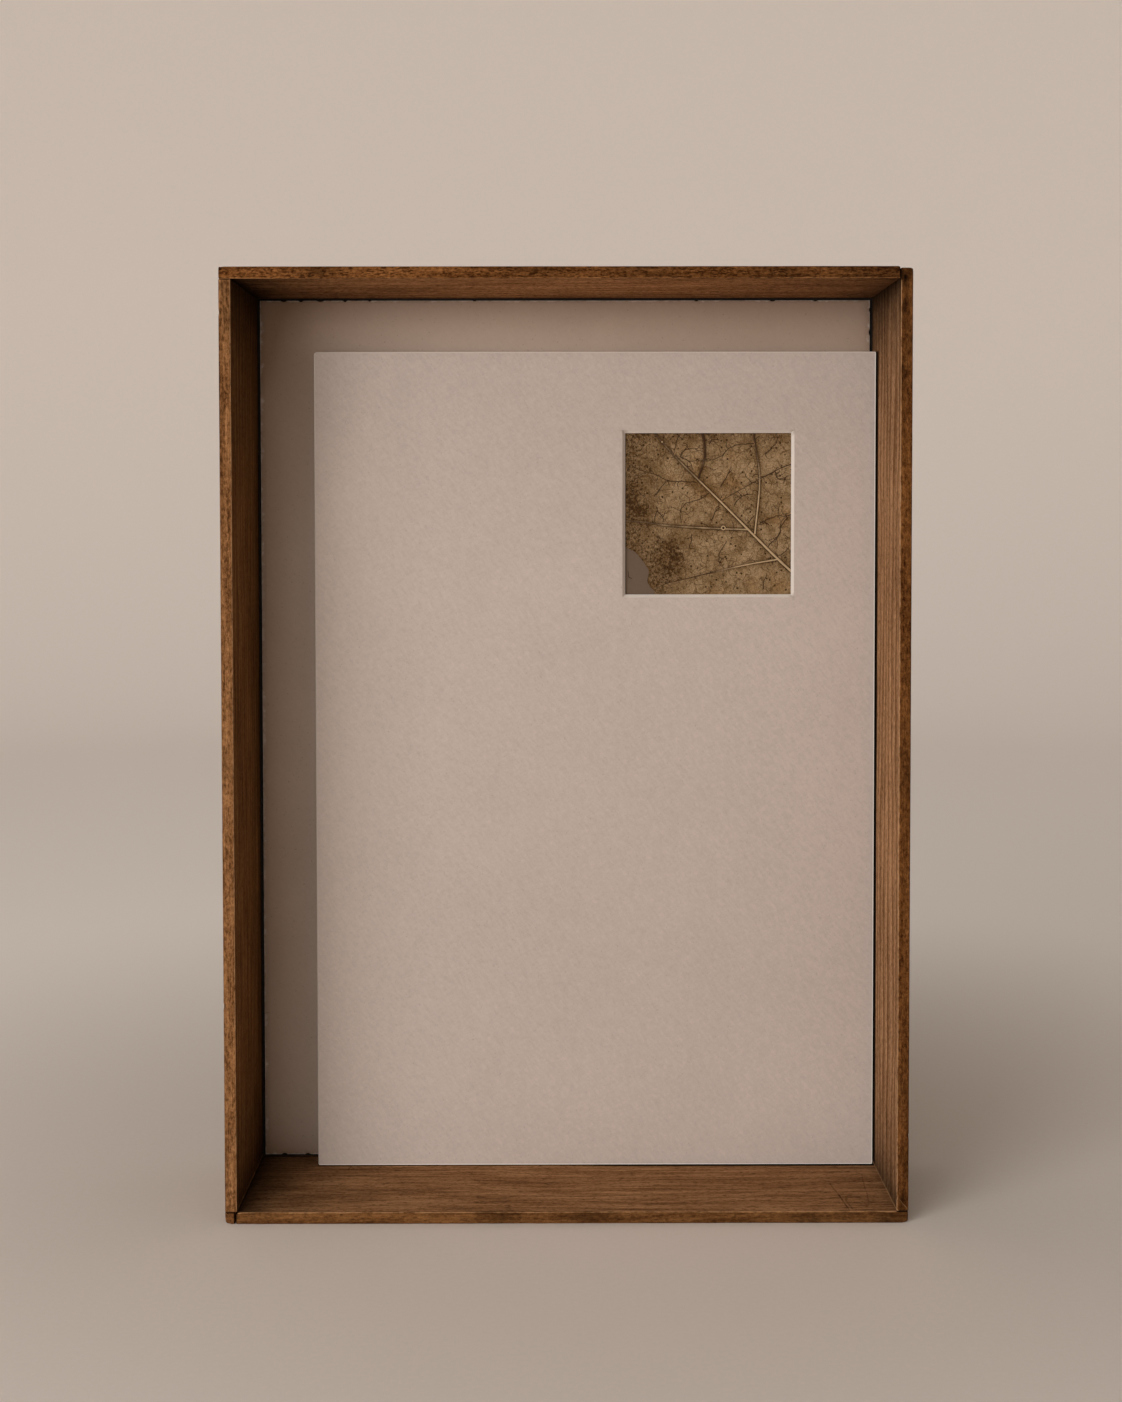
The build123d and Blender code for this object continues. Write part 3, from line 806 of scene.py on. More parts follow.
pinRows = {
    "topLeft": [((-sidePinX, y, caseHigh.z), (0, 0, 1)) for y in cornerDepths],
    "topRight": [((caseHigh.x, y, topLow.z + thickness / 2), (1, 0, 0)) for y in cornerDepths],
    "bottomRight": [((sidePinX, y, 0), (0, 0, -1)) for y in cornerDepths],
    "stripSide": [((caseLow.x, y, thickness / 2), (-1, 0, 0)) for y in cornerDepths],
    "stripFoot": [((-sidePinX, y, 0), (0, 0, -1)) for y in footDepths],
    "back": [],
}
upright, level = pins["backRows"]
for side in (-1, 1):
    for step in range(upright):
        z = middleZ + (openingZ - pins["backInset"]) * (2 * step / (upright - 1) - 1)
        pinRows["back"].append(((side * rebatePinX, panelHigh.y, z), (0, 1, 0)))
    for step in range(level):
        x = (openingX - pins["backInset"]) * (2 * step / (level - 1) - 1)
        pinRows["back"].append(((x, panelHigh.y, middleZ + side * rebatePinZ), (0, 1, 0)))


def pinBores(rows):
    # Cutters for the holes: a wide mouth for the head and a narrow bore for the shank.
    shapes = []
    top = pins["clear"]
    mouth = pins["headDiameter"] / 2 + pins["holeEase"]
    bore = pins["shankDiameter"] / 2 + pins["holeEase"]
    for row in rows:
        isBack = row == "back"
        sunk = 0 if isBack else pins["set"]
        floor = -sunk - pins["headHeight"]
        foot = -sunk - (pins["backLength"] if isBack else pins["length"]) - pins["holeEase"]
        profile = [(0, foot), (bore, foot), (bore, floor), (mouth, floor), (mouth, top), (0, top)]
        shapes += [lathe(profile, pins["segments"], place, outward) for place, outward in pinRows[row]]
    return gather(shapes)


def rebateBlock():
    # What the back panel's rebate takes from the boards.
    low = Vector((-rebateWall["x"], panelLow.y, 2 * middleZ - rebateWall["z"]))
    high = Vector((rebateWall["x"], caseHigh.y + pins["clear"], rebateWall["z"]))
    return boxSurface([[low[axis], high[axis]] for axis in range(3)])


bored = {
    "top_board": ["topLeft", "topRight", "back"],
    "right_board": ["topRight", "bottomRight", "back"],
    "bottom_board": ["bottomRight", "stripSide", "back"],
    "left_board": ["topLeft", "stripFoot", "back"],
    "corner_strip": ["stripSide", "stripFoot"],
}

for name, board in boardKinds.items():
    makeBoard(name, {**plainBoard, **board}, [rebateBlock(), pinBores(bored[name])])
    print(name, "made")


def giveShape(tree, result, shape, material):
    # The end of a Geometry Nodes tree: real mesh, painted.
    real = put(tree, "GeometryNodeRealizeInstances", {"Geometry": shape}).outputs[0]
    painted = put(tree, "GeometryNodeSetMaterial", {"Geometry": real, "Material": material}).outputs[0]
    tree.links.new(painted, result.inputs[0])
    return tree


def makePinTree():
    # A pin on every point, standing along the point's `outward`, a little tilted, sunk by `Set`.
    takes = {"Places": "shape"}
    for label in ("Head Diameter", "Head Height", "Shank Diameter", "Length", "Point", "Set", "Tilt"):
        takes[label] = "number"
    takes.update({"Seed": "whole", "Material": "material"})
    tree, given, result = newGroup("driven pins", takes, {"Pins": "shape"}, "GeometryNodeTree")

    # Stations down the pin: crown, rim, under the head, shank, start of the point, tip.
    headRadius = times(tree, given["Head Diameter"], 0.5)
    shankRadius = times(tree, given["Shank Diameter"], 0.5)
    headFoot = times(tree, given["Head Height"], -1.0)
    tip = times(tree, given["Length"], -1.0)
    stations = [
        (0.0, times(tree, headRadius, 0.86)),
        (times(tree, headFoot, 0.2), headRadius),
        (headFoot, headRadius),
        (times(tree, headFoot, 1.06), shankRadius),
        (calc(tree, "ADD", tip, given["Point"]), shankRadius),
        (tip, times(tree, shankRadius, 0.5)),
    ]
    station = put(tree, "GeometryNodeInputIndex").outputs[0]
    switches = []
    for values in zip(*stations):
        switch = put(tree, "GeometryNodeIndexSwitch", {"Index": station}, data_type="FLOAT")
        while len(switch.index_switch_items) < len(stations):
            switch.index_switch_items.new()
        for index, value in enumerate(values):
            fill(tree, switch.inputs[index + 1], value)
        switches.append(switch.outputs[0])
    depth, girth = switches
    line = put(tree, "GeometryNodeCurvePrimitiveLine")
    line = put(tree, "GeometryNodeResampleCurve", {"Curve": line.outputs[0], "Count": len(stations)})
    where = put(tree, "ShaderNodeCombineXYZ", {"Z": depth}).outputs[0]
    axis = put(tree, "GeometryNodeSetPosition", {"Geometry": line.outputs[0], "Position": where})
    ring = put(tree, "GeometryNodeCurvePrimitiveCircle", {"Resolution": pins["segments"], "Radius": 1.0})
    pin = put(tree, "GeometryNodeCurveToMesh", {"Curve": axis.outputs[0], "Profile Curve": ring.outputs[0],
                                                "Scale": girth, "Fill Caps": True})

    outward = put(tree, "GeometryNodeInputNamedAttribute", {"Name": "outward"}, data_type="FLOAT_VECTOR")
    outward = outward.outputs[0]
    widest = calc(tree, "RADIANS", given["Tilt"])
    lean = put(tree, "FunctionNodeRandomValue", {"Seed": given["Seed"]}, data_type="FLOAT_VECTOR")
    lean.inputs["Min"].default_value = (-1, -1, -1)
    lean = calcVector(tree, "ADD", outward, scaled(tree, lean.outputs[0], widest))
    stand = put(tree, "FunctionNodeAlignRotationToVector", {"Vector": lean}, axis="Z")
    sunk = scaled(tree, outward, times(tree, given["Set"], -1.0))
    places = put(tree, "GeometryNodeSetPosition", {"Geometry": given["Places"], "Offset": sunk})
    sockets = {"Points": places.outputs[0], "Instance": pin.outputs[0], "Rotation": stand.outputs[0]}
    copies = put(tree, "GeometryNodeInstanceOnPoints", sockets)
    return giveShape(tree, result, copies.outputs[0], given["Material"])


def runTree(name, tree, mesh, values):
    # Lets a Geometry Nodes tree work on a mesh. Gives the result's points, its faces and the plain mesh.
    obj = bpy.data.objects.new(name, mesh)
    bpy.context.scene.collection.objects.link(obj)
    modifier = obj.modifiers.new(name, "NODES")
    modifier.node_group = tree
    for item in tree.interface.items_tree:
        if item.in_out == "INPUT" and item.name in values:
            modifier[item.identifier] = values[item.name]
    applyModifiers(obj)
    made = obj.data
    bpy.data.objects.remove(obj)
    points = [vertex.co / mm for vertex in made.vertices]
    return points, [list(face.vertices) for face in made.polygons], made


def steelMaterial():
    material, tree, shader = newMaterial("dull steel")
    place = objectPlace(tree)
    rust = spanned(tree, noiseAt(tree, place, 0.9, 4.0, 0.65)[0], 0.42, 0.62)
    colour = mixed(tree, rust, pins["steel"], pins["rust"])
    tree.links.new(calc(tree, "SUBTRACT", 1.0, rust), shader.inputs["Metallic"])
    height = noiseAt(tree, place, 3, 3.0)[0]
    finish(tree, shader, colour, height, pins["relief"], spanned(tree, rust, 0, 1, 0.42, 0.8))
    return material


def makePins():
    tree = makePinTree()
    steel = steelMaterial()
    shapes = []
    for depth, length, rows in (
        (pins["set"], pins["length"], ("topLeft", "topRight", "bottomRight", "stripSide", "stripFoot")),
        (0.0, pins["backLength"], ("back",)),
    ):
        places = [place for row in rows for place in pinRows[row]]
        mesh = bpy.data.meshes.new("pin places")
        mesh.from_pydata([Vector(spot) * mm for spot, outward in places], [], [])
        layer = mesh.attributes.new("outward", "FLOAT_VECTOR", "POINT")
        layer.data.foreach_set("vector", [number for spot, outward in places for number in outward])
        values = {"Head Diameter": pins["headDiameter"] * mm, "Head Height": pins["headHeight"] * mm,
                  "Shank Diameter": pins["shankDiameter"] * mm, "Length": length * mm,
                  "Point": pins["point"] * mm, "Set": depth * mm, "Tilt": pins["tilt"],
                  "Seed": pins["seed"], "Material": steel}
        shapes.append(runTree("pins", tree, mesh, values)[:2])
    joined = makeObject("case_pins", *gather(shapes), [steel])
    keepSharp(joined, 40)
    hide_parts("top_left_pins", "top_right_pins", "bottom_right_pins", "bottom_left_pins",
                "back_panel_pins")
    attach(joined, "case")


makePins()
print("pins made")


# Plain slabs: back panel, mount board and battens

batten = {"arris": 0.7, "step": 3.0, "body": "insert", "slot": "batten_wood"}

slabKinds = {
    "back_panel": {"arris": 0.3, "step": 6.0, "body": "case", "slot": "back_wood", "seed": 31, "along": "z"},
    "mount_board": {"arris": 0.18, "step": 6.0, "body": "insert", "slot": "mount_card", "seed": 35},
    "left_batten": {**batten, "seed": 41, "along": "z"},
    "right_batten": {**batten, "seed": 43, "along": "z"},
    "top_batten": {**batten, "seed": 47, "along": "x"},
    "bottom_batten": {**batten, "seed": 53, "along": "x"},
}

slabWood = {"speckle": 0.8, "blotches": 0.5, "figure": 22.0, "waver": 2.0, "grainDepth": 0.12, "gloss": 0.3}

slabWoods = {
    "back_wood": {
        **slabWood, "early": (0.34, 0.195, 0.095), "late": (0.20, 0.10, 0.042), "pore": (0.07, 0.03, 0.012),
        "ringWidth": 7.5, "rings": 0.9, "streaks": 0.2, "pores": 0.5, "pith": (40, 62, 0),
        "gapShadeColour": (0.010, 0.007, 0.005),      # painted shade on its front, which shows as the dark gap round the lining
    },
    "batten_wood": {
        **slabWood, "early": (0.56, 0.40, 0.22), "late": (0.40, 0.24, 0.11), "pore": (0.20, 0.11, 0.05),
        "ringWidth": 2.4, "rings": 0.8, "streaks": 0.12, "pores": 0.25, "pith": (30, 22, 0),
    },
}

mountCard = {"colour": (0.125, 0.084, 0.056), "clouds": 0.25, "marks": 0.10, "fibres": 0.14, "specks": 0.6,
             "relief": 0.04}
cardGloss = 0.2


def slabMaterial(name, slab):
    if slab["slot"] == "mount_card":
        return cardMaterial("mount card", mountCard)
    wood = slabWoods[slab["slot"]]
    material, tree, shader = newMaterial(name.replace("_", " ") + " wood", wood["gloss"])
    place = objectPlace(tree, grainTurns[slab["along"]], wood["pith"])
    grain = growWood(tree, place, wood, wood["early"], wood["late"], wood["rings"], wood["speckle"])
    rubbed = useGroup(tree, wearGroup, {"Place": place, "Mask": mask(tree, "rubbed")})["Rubbed"]
    pale = scaled(tree, wood["early"], calc(tree, "MULTIPLY_ADD", grain["Height"], 0.5, 0.9))
    colour = mixed(tree, rubbed, grain["Colour"], pale)
    if "gapShadeColour" in wood:
        depth = split(tree, objectPlace(tree))["Y"]
        front = boxOf(name)[0].y
        gapShadeShare = spanned(tree, depth, front + 0.3, front + 0.6, 1.0, 0.0)
        colour = mixed(tree, gapShadeShare, colour, wood["gapShadeColour"])
    finish(tree, shader, colour, grain["Height"], wood["grainDepth"], grain["Roughness"])
    return material


def cardMaterial(name, card, shadeAt=None):
    # Card with old stains and, where its masks say so, painted shade, cut edges painted lighter or darker by
    # side, and a paler core.
    material, tree, shader = newMaterial(name, cardGloss)
    place = objectPlace(tree)
    sockets = {"Place": place, "Colour": card["colour"], "Clouds": card["clouds"], "Marks": card["marks"],
               "Fibres": card["fibres"], "Specks": card["specks"]}
    made = useGroup(tree, cardGroup, sockets)
    shade = made["Colour"]
    if "agedAndShaded" in card:
        shade = mixed(tree, mask(tree, "paintedEdgeLight"), card["agedAndShaded"], shade)
    # Painted shade: the colour is multiplied by a tint as far as the mask says.
    if "shadeTint" in card:
        stainAndShade = shadeAt(tree, place) if shadeAt else mask(tree, "stainAndShade")
        shade = mixed(tree, stainAndShade, shade, calcVector(tree, "MULTIPLY", shade, card["shadeTint"]))
    if "core" in card:
        rubbed = useGroup(tree, wearGroup, {"Place": place, "Mask": mask(tree, "rubbed")})["Rubbed"]
        shade = mixed(tree, rubbed, shade, card["core"])
    finish(tree, shader, shade, made["Height"], card["relief"], made["Roughness"])
    return material


def makeSlab(name, slab):
    low, high = boxOf(name)
    rows = [rowsBetween(low[axis], high[axis], slab["step"], closeRows[:6]) for axis in range(3)]
    points, faces = boxSurface(rows)
    moved, rubs = [], []
    for point in points:
        gaps = sorted(min(point[axis] - low[axis], high[axis] - point[axis]) for axis in range(3))
        radius = slab["arris"] * (1 + 0.35 * wander(point, 6, slab["seed"]))
        moved.append(roundedPoint(point, low, high, radius))
        rubs.append(0.7 * math.exp(-((gaps[1] / 0.5) ** 2)))
    made = makeObject(name + "_slab", moved, faces, [slabMaterial(name, slab)], {"rubbed": rubs})
    if name == "back_panel":
        cutAway(made, pinBores(["back"]))
    keepSharp(made, 38)
    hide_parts(name)
    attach(made, slab["body"])


for name, slab in slabKinds.items():
    makeSlab(name, slab)
print("back panel, mount board and battens made")


# Lining board, its edges nicked where it was forced in

lining = {
    "step": 3.0, "nickStep": 0.5,
    "edgeRows": [0, 0.35],
    "ragged": 0.12,
    "chamfer": 0.25,
    # The painted shade on the lining: how far it reaches from the left wall, how strong it is under the top
    # board, and in the card its tint.
    "shadeReach": 24.0,
    "topShade": (0.40, 0.60),       # painted shade under the top board, at its left and at its right
    "card": {
        "colour": (0.540, 0.440, 0.368), "core": (0.60, 0.51, 0.43), "shadeTint": (0.555, 0.440, 0.352),
        "clouds": 0.18, "marks": 0.09, "fibres": 0.08, "specks": 0.6, "relief": 0.03,
    },
    "nicks": [  # x, z, reach along the edge, depth
        (-137.0, 426.6, 1.6, 0.5), (-128.5, 426.6, 1.1, 0.6), (-119.0, 426.6, 1.8, 0.45),
        (-107.0, 426.6, 0.9, 0.6), (-95.0, 426.6, 0.8, 0.4), (-44.0, 426.6, 1.0, 0.3),
        (64.0, 426.6, 1.0, 0.4), (101.0, 426.6, 1.4, 0.45), (122.0, 426.6, 1.2, 0.4),
        (-139.0, 6.6, 1.5, 0.7), (-127.5, 6.6, 1.2, 0.6), (-118.0, 6.6, 2.0, 0.5),
        (148.5, 411.0, 1.6, 0.35), (148.5, 422.0, 1.1, 0.4),
    ],
}
liningLow, liningHigh = boxOf("lining_board")


def nickedRows(low, high, places, margin):
    # Rows from low to high, and more of them beside the nicks that don't lie at the ends.
    rows = rowsBetween(low, high, lining["step"], lining["edgeRows"])
    for place in places:
        if low + margin < place < high - margin:
            rows += [place + lining["nickStep"] * step for step in range(-6, 7)]
    return sorted(set(rows))


def liningPoint(x, y, z, chamfer):
    gaps = {"x": (x - liningLow.x, liningHigh.x - x), "z": (z - liningLow.z, liningHigh.z - z)}
    edge = min(gaps["x"] + gaps["z"])
    loose = (1 - ease(edge, 0, 2.0)) * lining["ragged"] * (0.5 + 0.5 * wander((x, 0, z), 3.5, 6))
    for nickX, nickZ, reach, depth in lining["nicks"]:
        off = math.hypot(x - nickX, z - nickZ) / reach
        if off < 1:
            loose += depth * (1 - off * off) * (1 - ease(edge, 0, 1.2))
    point = Vector((x, y + (chamfer if edge < 0.01 else 0), z))
    for axis, (before, behind) in gaps.items():  # an edge gives way inwards
        point["xyz".index(axis)] += loose if before < 2 else -loose if behind < 2 else 0
    return point


def liningMasks(point):
    # How far a point is rubbed, and how much painted shade it gets: at the top under the top board, beside
    # the walls and in a corner.
    left = point.x - liningLow.x
    below = liningHigh.z - point.z
    sides = min(liningHigh.x - point.x, point.z - liningLow.z, below)
    rubbed = 0.75 * (1 - ease(min(left, sides), 0.1, 0.7))
    reach = lining["shadeReach"] * (1 + 0.3 * wander(point, 30, 2))
    leftShade, rightShade = lining["topShade"]
    top = leftShade + (rightShade - leftShade) * ease(point.x, -40, 140)
    top *= 1 - ease(below, 28, 130)
    side = min(1, 0.72 * math.exp(-left / reach) + 0.5 * math.exp(-sides / 9))
    corner = 0.6 * math.exp(-left / 9) * (1 - ease(below, 14, 50))
    return rubbed, min(1, 1 - (1 - top) * (1 - side) + corner)


def makeLining():
    xs = nickedRows(liningLow.x, liningHigh.x, [nick[0] for nick in lining["nicks"]], 1)
    zs = nickedRows(liningLow.z, liningHigh.z, [nick[1] for nick in lining["nicks"]], 4)
    front, back = [
        [[liningPoint(x, y, z, chamfer) for x in xs] for z in zs]
        for y, chamfer in ((liningLow.y, lining["chamfer"]), (liningHigh.y, 0))
    ]
    points, faces, kinds = closedSheet(front, back)
    masks = dict(zip(("rubbed", "stainAndShade"), zip(*map(liningMasks, points))))
    material = cardMaterial("lining card", lining["card"])
    made = makeObject("lining_board_card", points, faces, [material], masks)
    keepSharp(made, 50)
    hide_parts("lining_board")
    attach(made, "case")


makeLining()
print("lining made")


# Window mat with its bevelled window

window = {
    "width": 80.0, "height": 77.8,      # at the back edge of the bevel
    "rightMargin": 40.4, "topMargin": 38.9,
    "step": 3.0,
    "edgeRows": [0, 0.42, 0.8, 1.2, 1.8],
    "insideSteps": 26,
    "chamfer": 0.09,
    "corners": {("x-", "z+"): 1.5, ("x+", "z+"): 0.5, ("x-", "z-"): 0.7, ("x+", "z-"): 0.5},
    # Painted light and shade on the cut edges and on the window's bevel, one value for each side.
    "outerEdgeLight": {"x-": 0.3, "x+": 1.0, "z-": 1.0, "z+": 0.3},      # how brightly each outer cut edge is painted
    "bevelEdgeLight": {"x-": 0.3, "x+": 0.55, "z-": 0.6, "z+": 0.5},
    "overcut": 1.5, "overcutDepth": 0.5, "knife": 0.14,
    "paper": {
        # Its tint darkens the paper as painted shade.
        "colour": (0.531, 0.442, 0.389), "shadeTint": (0.75, 0.75, 0.752),
        "clouds": 0.10, "marks": 0.22, "fibres": 0.24, "specks": 0.35, "relief": 0.12,
    },
    "core": {
        # Its second colour is the painted shade on the cut edges.
        "colour": (0.82, 0.755, 0.690), "agedAndShaded": (0.40, 0.33, 0.28),
        "clouds": 0.06, "marks": 0.04, "fibres": 0.10, "specks": 0.2, "relief": 0.03,
    },
}
matLow, matHigh = boxOf("window_mat")
windowX = matHigh.x - window["rightMargin"] - window["width"] / 2
windowZ = matHigh.z - window["topMargin"] - window["height"] / 2


def matRows():
    # Places of the columns and rows on the front and on the back, and those beside the window.
    depth = matHigh.y - matLow.y
    steps = window["insideSteps"]
    made = []
    for low, high, middle, size in (
        (matLow.x, matHigh.x, windowX, window["width"]), (matLow.z, matHigh.z, windowZ, window["height"])
    ):
        outer = size / 2 + depth
        start = rowsBetween(low, middle - outer, window["step"], window["edgeRows"])
        inside = [middle - outer + 2 * outer * index / steps for index in range(1, steps)]
        stop = rowsBetween(middle + outer, high, window["step"], window["edgeRows"])
        front = start + inside + stop
        back = list(front)
        first, last = len(start) - 1, len(start) + len(inside)
        back[first], back[last] = middle - size / 2, middle + size / 2
        made.append((front, back, first, last))
    return made


def matGrid(xs, zs, y, chamfer):
    grid = []
    for z in zs:
        row = []
        for x in xs:
            point = Vector((x, y, z))
            if min(x - matLow.x, matHigh.x - x, z - matLow.z, matHigh.z - z) < 0.01:
                point.y += chamfer
            for sides, radius in window["corners"].items():
                hub = Vector([radius - sideGap(point, side, matLow, matHigh) for side in sides])
                if min(hub) > 0:
                    moved = hub * (max(hub) / hub.length - 1)
                    for side, move in zip(sides, moved):
                        point["xyz".index(side[0])] += move if side[1] == "+" else -move
            row.append(point)
        grid.append(row)
    return grid


def overcuts():
    # Where the knife ran on past three corners of the window.
    shapes = []
    depth = matHigh.y - matLow.y
    half = window["knife"] / 2
    through = [matLow.y - window["overcutDepth"], matLow.y + window["overcutDepth"]]
    for sideX, sideZ, isFlat in ((-1, 1, True), (1, -1, False), (1, 1, False)):
        x = windowX + sideX * (window["width"] / 2 + depth)
        z = windowZ + sideZ * (window["height"] / 2 + depth)
        reach = window["overcut"] * (1.0 if sideX * sideZ < 0 else 0.8)
        if isFlat:
            rows = [sorted((x - sideX * 0.6, x + sideX * reach)), through, [z - half, z + half]]
        else:
            rows = [[x - half, x + half], through, sorted((z - sideZ * 0.6, z + sideZ * reach))]
        shapes.append(boxSurface(rows))
    return gather(shapes)


def paintedPaperShade(tree, place):
    # Painted light and shade on the paper: darkened towards the top, for the top board's shadow, and least of
    # all low down and beside the left board, as painted light.
    parts = split(tree, place)
    tone = spanned(tree, parts["Z"], 30, 115, 0.21, 0.45)
    tone = calc(tree, "ADD", tone, spanned(tree, parts["Z"], 270, 400, 0.0, 0.30))
    shown = spanned(tree, parts["X"], -119, -70, 0.1, 1.0)
    shown = calc(tree, "MAXIMUM", shown, spanned(tree, parts["Z"], 300, 400, 0.0, 0.75))
    return times(tree, tone, shown)


def paintedCutLight(point):
    # How brightly the cut edge next to a point is painted, side by side.
    offX, offZ = point.x - windowX, point.z - windowZ
    if abs(offX) < window["width"] / 2 + 4 and abs(offZ) < window["height"] / 2 + 4:
        away = {"x-": -offX, "x+": offX, "z-": -offZ, "z+": offZ}
        return window["bevelEdgeLight"][max(away, key=away.get)]
    gaps = {side: sideGap(point, side, matLow, matHigh) for side in window["outerEdgeLight"]}
    return window["outerEdgeLight"][min(gaps, key=gaps.get)]


def makeMat():
    (frontXs, backXs, left, right), (frontZs, backZs, bottom, top) = matRows()

    def isOpen(row, column):
        return left <= column < right and bottom <= row < top

    front = matGrid(frontXs, frontZs, matLow.y, window["chamfer"])
    back = matGrid(backXs, backZs, matHigh.y, 0)
    points, faces, kinds = closedSheet(front, back, isOpen)
    lastRow, lastColumn = len(front) - 2, len(front[0]) - 2
    cuts = []  # the faces that show the core: the walls and the narrow chamfer round the front
    for row, column, kind in kinds:
        isRim = row in (0, lastRow) or column in (0, lastColumn)
        cuts.append(int(kind == "wall" or (kind == "front" and isRim)))
    paper = cardMaterial("mat paper", window["paper"], paintedPaperShade)
    core = cardMaterial("mat core", window["core"])
    paintedEdgeLight = [paintedCutLight(point) for point in points]
    made = makeObject("window_mat_card", points, faces, [paper, core], {"paintedEdgeLight": paintedEdgeLight}, cuts)
    cutAway(made, overcuts())
    keepSharp(made, 30)
    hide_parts("window_mat")
    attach(made, "window")


makeMat()
print("window mat made")


# Linen hinge tape: one strip, folded between the mount board and the mat

tape = {
    "thickness": 0.2, "colour": (0.62, 0.56, 0.47),
    "threadSpacing": 0.42, "threadHeight": 0.12,
    "foldSteps": 10, "leafStep": 2.0, "rowStep": 3.0, "edgeRows": [0, 0.8],
    "gloss": 0.15, "sheen": 0.25,
}


def tapeMaterial():
    material, tree, shader = newMaterial("linen tape", tape["gloss"])
    shader.inputs["Sheen Weight"].default_value = tape["sheen"]
    weave = useGroup(tree, weaveGroup, {"Place": objectPlace(tree), "Spacing": tape["threadSpacing"]})
    colour = scaled(tree, tape["colour"], weave["Tone"])
    roughness = spanned(tree, weave["Thread"], 0, 1, 0.95, 0.8)
    finish(tree, shader, colour, weave["Thread"], tape["threadHeight"], roughness)
    return material


def makeTape():
    mountLow, mountHigh = boxOf("mount_tape")
    coverLow, coverHigh = boxOf("mat_tape")
    mountY, coverY = (mountLow.y + mountHigh.y) / 2, (coverLow.y + coverHigh.y) / 2
    foldRadius = (mountY - coverY) / 2
    foldX = mountLow.x + foldRadius + tape["thickness"] / 2
    count = round((mountHigh.x - foldX) / tape["leafStep"])
    leaf = [foldX + (mountHigh.x - foldX) * index / count for index in range(count + 1)]
    path = [((x, mountY), (0, 1)) for x in reversed(leaf)]
    for index in range(1, tape["foldSteps"]):
        angle = math.pi * index / tape["foldSteps"]
        away = (-math.sin(angle), math.cos(angle))
        path.append(((foldX + foldRadius * away[0], (mountY + coverY) / 2 + foldRadius * away[1]), away))
    path += [((x, coverY), (0, -1)) for x in leaf]
    rows = rowsBetween(mountLow.z, mountHigh.z, tape["rowStep"], tape["edgeRows"])
    half = tape["thickness"] / 2

    def grid(off):
        return [[Vector((x + off * away[0], y + off * away[1], z)) for (x, y), away in path] for z in rows]

    points, faces, kinds = closedSheet(grid(half), grid(-half))
    made = makeObject("hinge_tape", points, faces, [tapeMaterial()])
    keepSharp(made, 60)
    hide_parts("mount_tape", "mat_tape")
    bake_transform(made)


makeTape()
print("hinge tape made")


# Leaf. Its points are measured in millimetres from the middle of the window, to the right and up.

leafShape = {
    "gridStep": 1.15, "rows": range(-55, 62), "columns": range(-65, 66),
    "marginStep": 0.8,
    "veinStep": 0.6, "veinSides": 8, "veinFlatness": 0.55,
    "thickness": 0.16,
    "lift": 0.12,
    "pucker": 0.30,
    "crinkle": 0.09,
    "seed": 9,
}

leafMargins = [  # the blade's outline, as curves that meet in its points
    [(56, -42), (40, -53), (18, -56), (0, -53), (-24, -60)],
    [(-24, -60), (-22.5, -48), (-25.3, -39), (-29.2, -32.5), (-28.8, -27.5), (-33, -20.5), (-40, -15.7),
     (-53, -10.5), (-70, -3)],
    [(-70, -3), (-58, 8), (-47, 17), (-50, 33), (-54, 48), (-46, 67)],
    [(-46, 67), (-30, 62), (-13, 55), (2, 62), (17, 69)],
    [(17, 69), (27, 58), (40, 47), (56, 42), (71, 31)],
    [(71, 31), (65, 14), (64, -6), (64, -26), (56, -42)],
]

galls = [  # small raised rings and beads on the blade: place, ring radius, thickness, tone
    ((7.4, -6.8), 0.85, 0.30, 0.95),
    ((7.4, -6.8), 0.0, 0.62, 0.0),
    ((-22.2, 34.7), 0.0, 0.42, 0.9),
]

twigs = {"seed": 21, "perPoint": 0.13, "loose": 60, "step": 0.75, "widths": (0.22, 0.44)}

# Each vein: points, width at both ends, tone at both ends (0 dark, 1 tan).
veins = {
    "stalk": ([(67, -82), (65.5, -64), (56, -42), (45, -32)], (1.7, 1.15), (1.0, 1.0)),
    "midrib": ([(45, -32), (34, -22), (8.7, 3.3), (-22.2, 34.7), (-45, 65)], (1.15, 0.42), (1.15, -0.05)),
    "upright": ([(22.7, -9.8), (24.9, 17.2), (22.1, 38.8), (18, 66)], (0.75, 0.45), (0.75, -0.3)),
    "leftward": ([(19, -7.6), (7.4, -7.2), (-20.4, -5.5), (-32, -3.8), (-66, -3)], (0.8, 0.4), (0.55, 0.1)),
    "lower": ([(33.9, -22), (17.7, -24.8), (-11.5, -31.6), (-21, -34), (-26, -37)], (0.7, 0.25), (1.0, -0.9)),
    "upper": ([(-4.8, 16.2), (-1.5, 28), (-2.6, 38.8), (-9, 53)], (0.6, 0.7), (0.1, 0.0)),
    "rightUpper": ([(6, 6.1), (27.6, 18.2), (38.4, 23.3), (67, 30)], (0.35, 0.45), (0.2, 0.1)),
    "rightLower": ([(29.2, -15.3), (34.6, -9.8), (36, -3), (64, 8)], (0.4, 0.35), (0.1, 0.1)),
}

fineVein = {"widths": (0.46, 0.30), "tones": (0.05, 0.0), "jagged": 0.45}

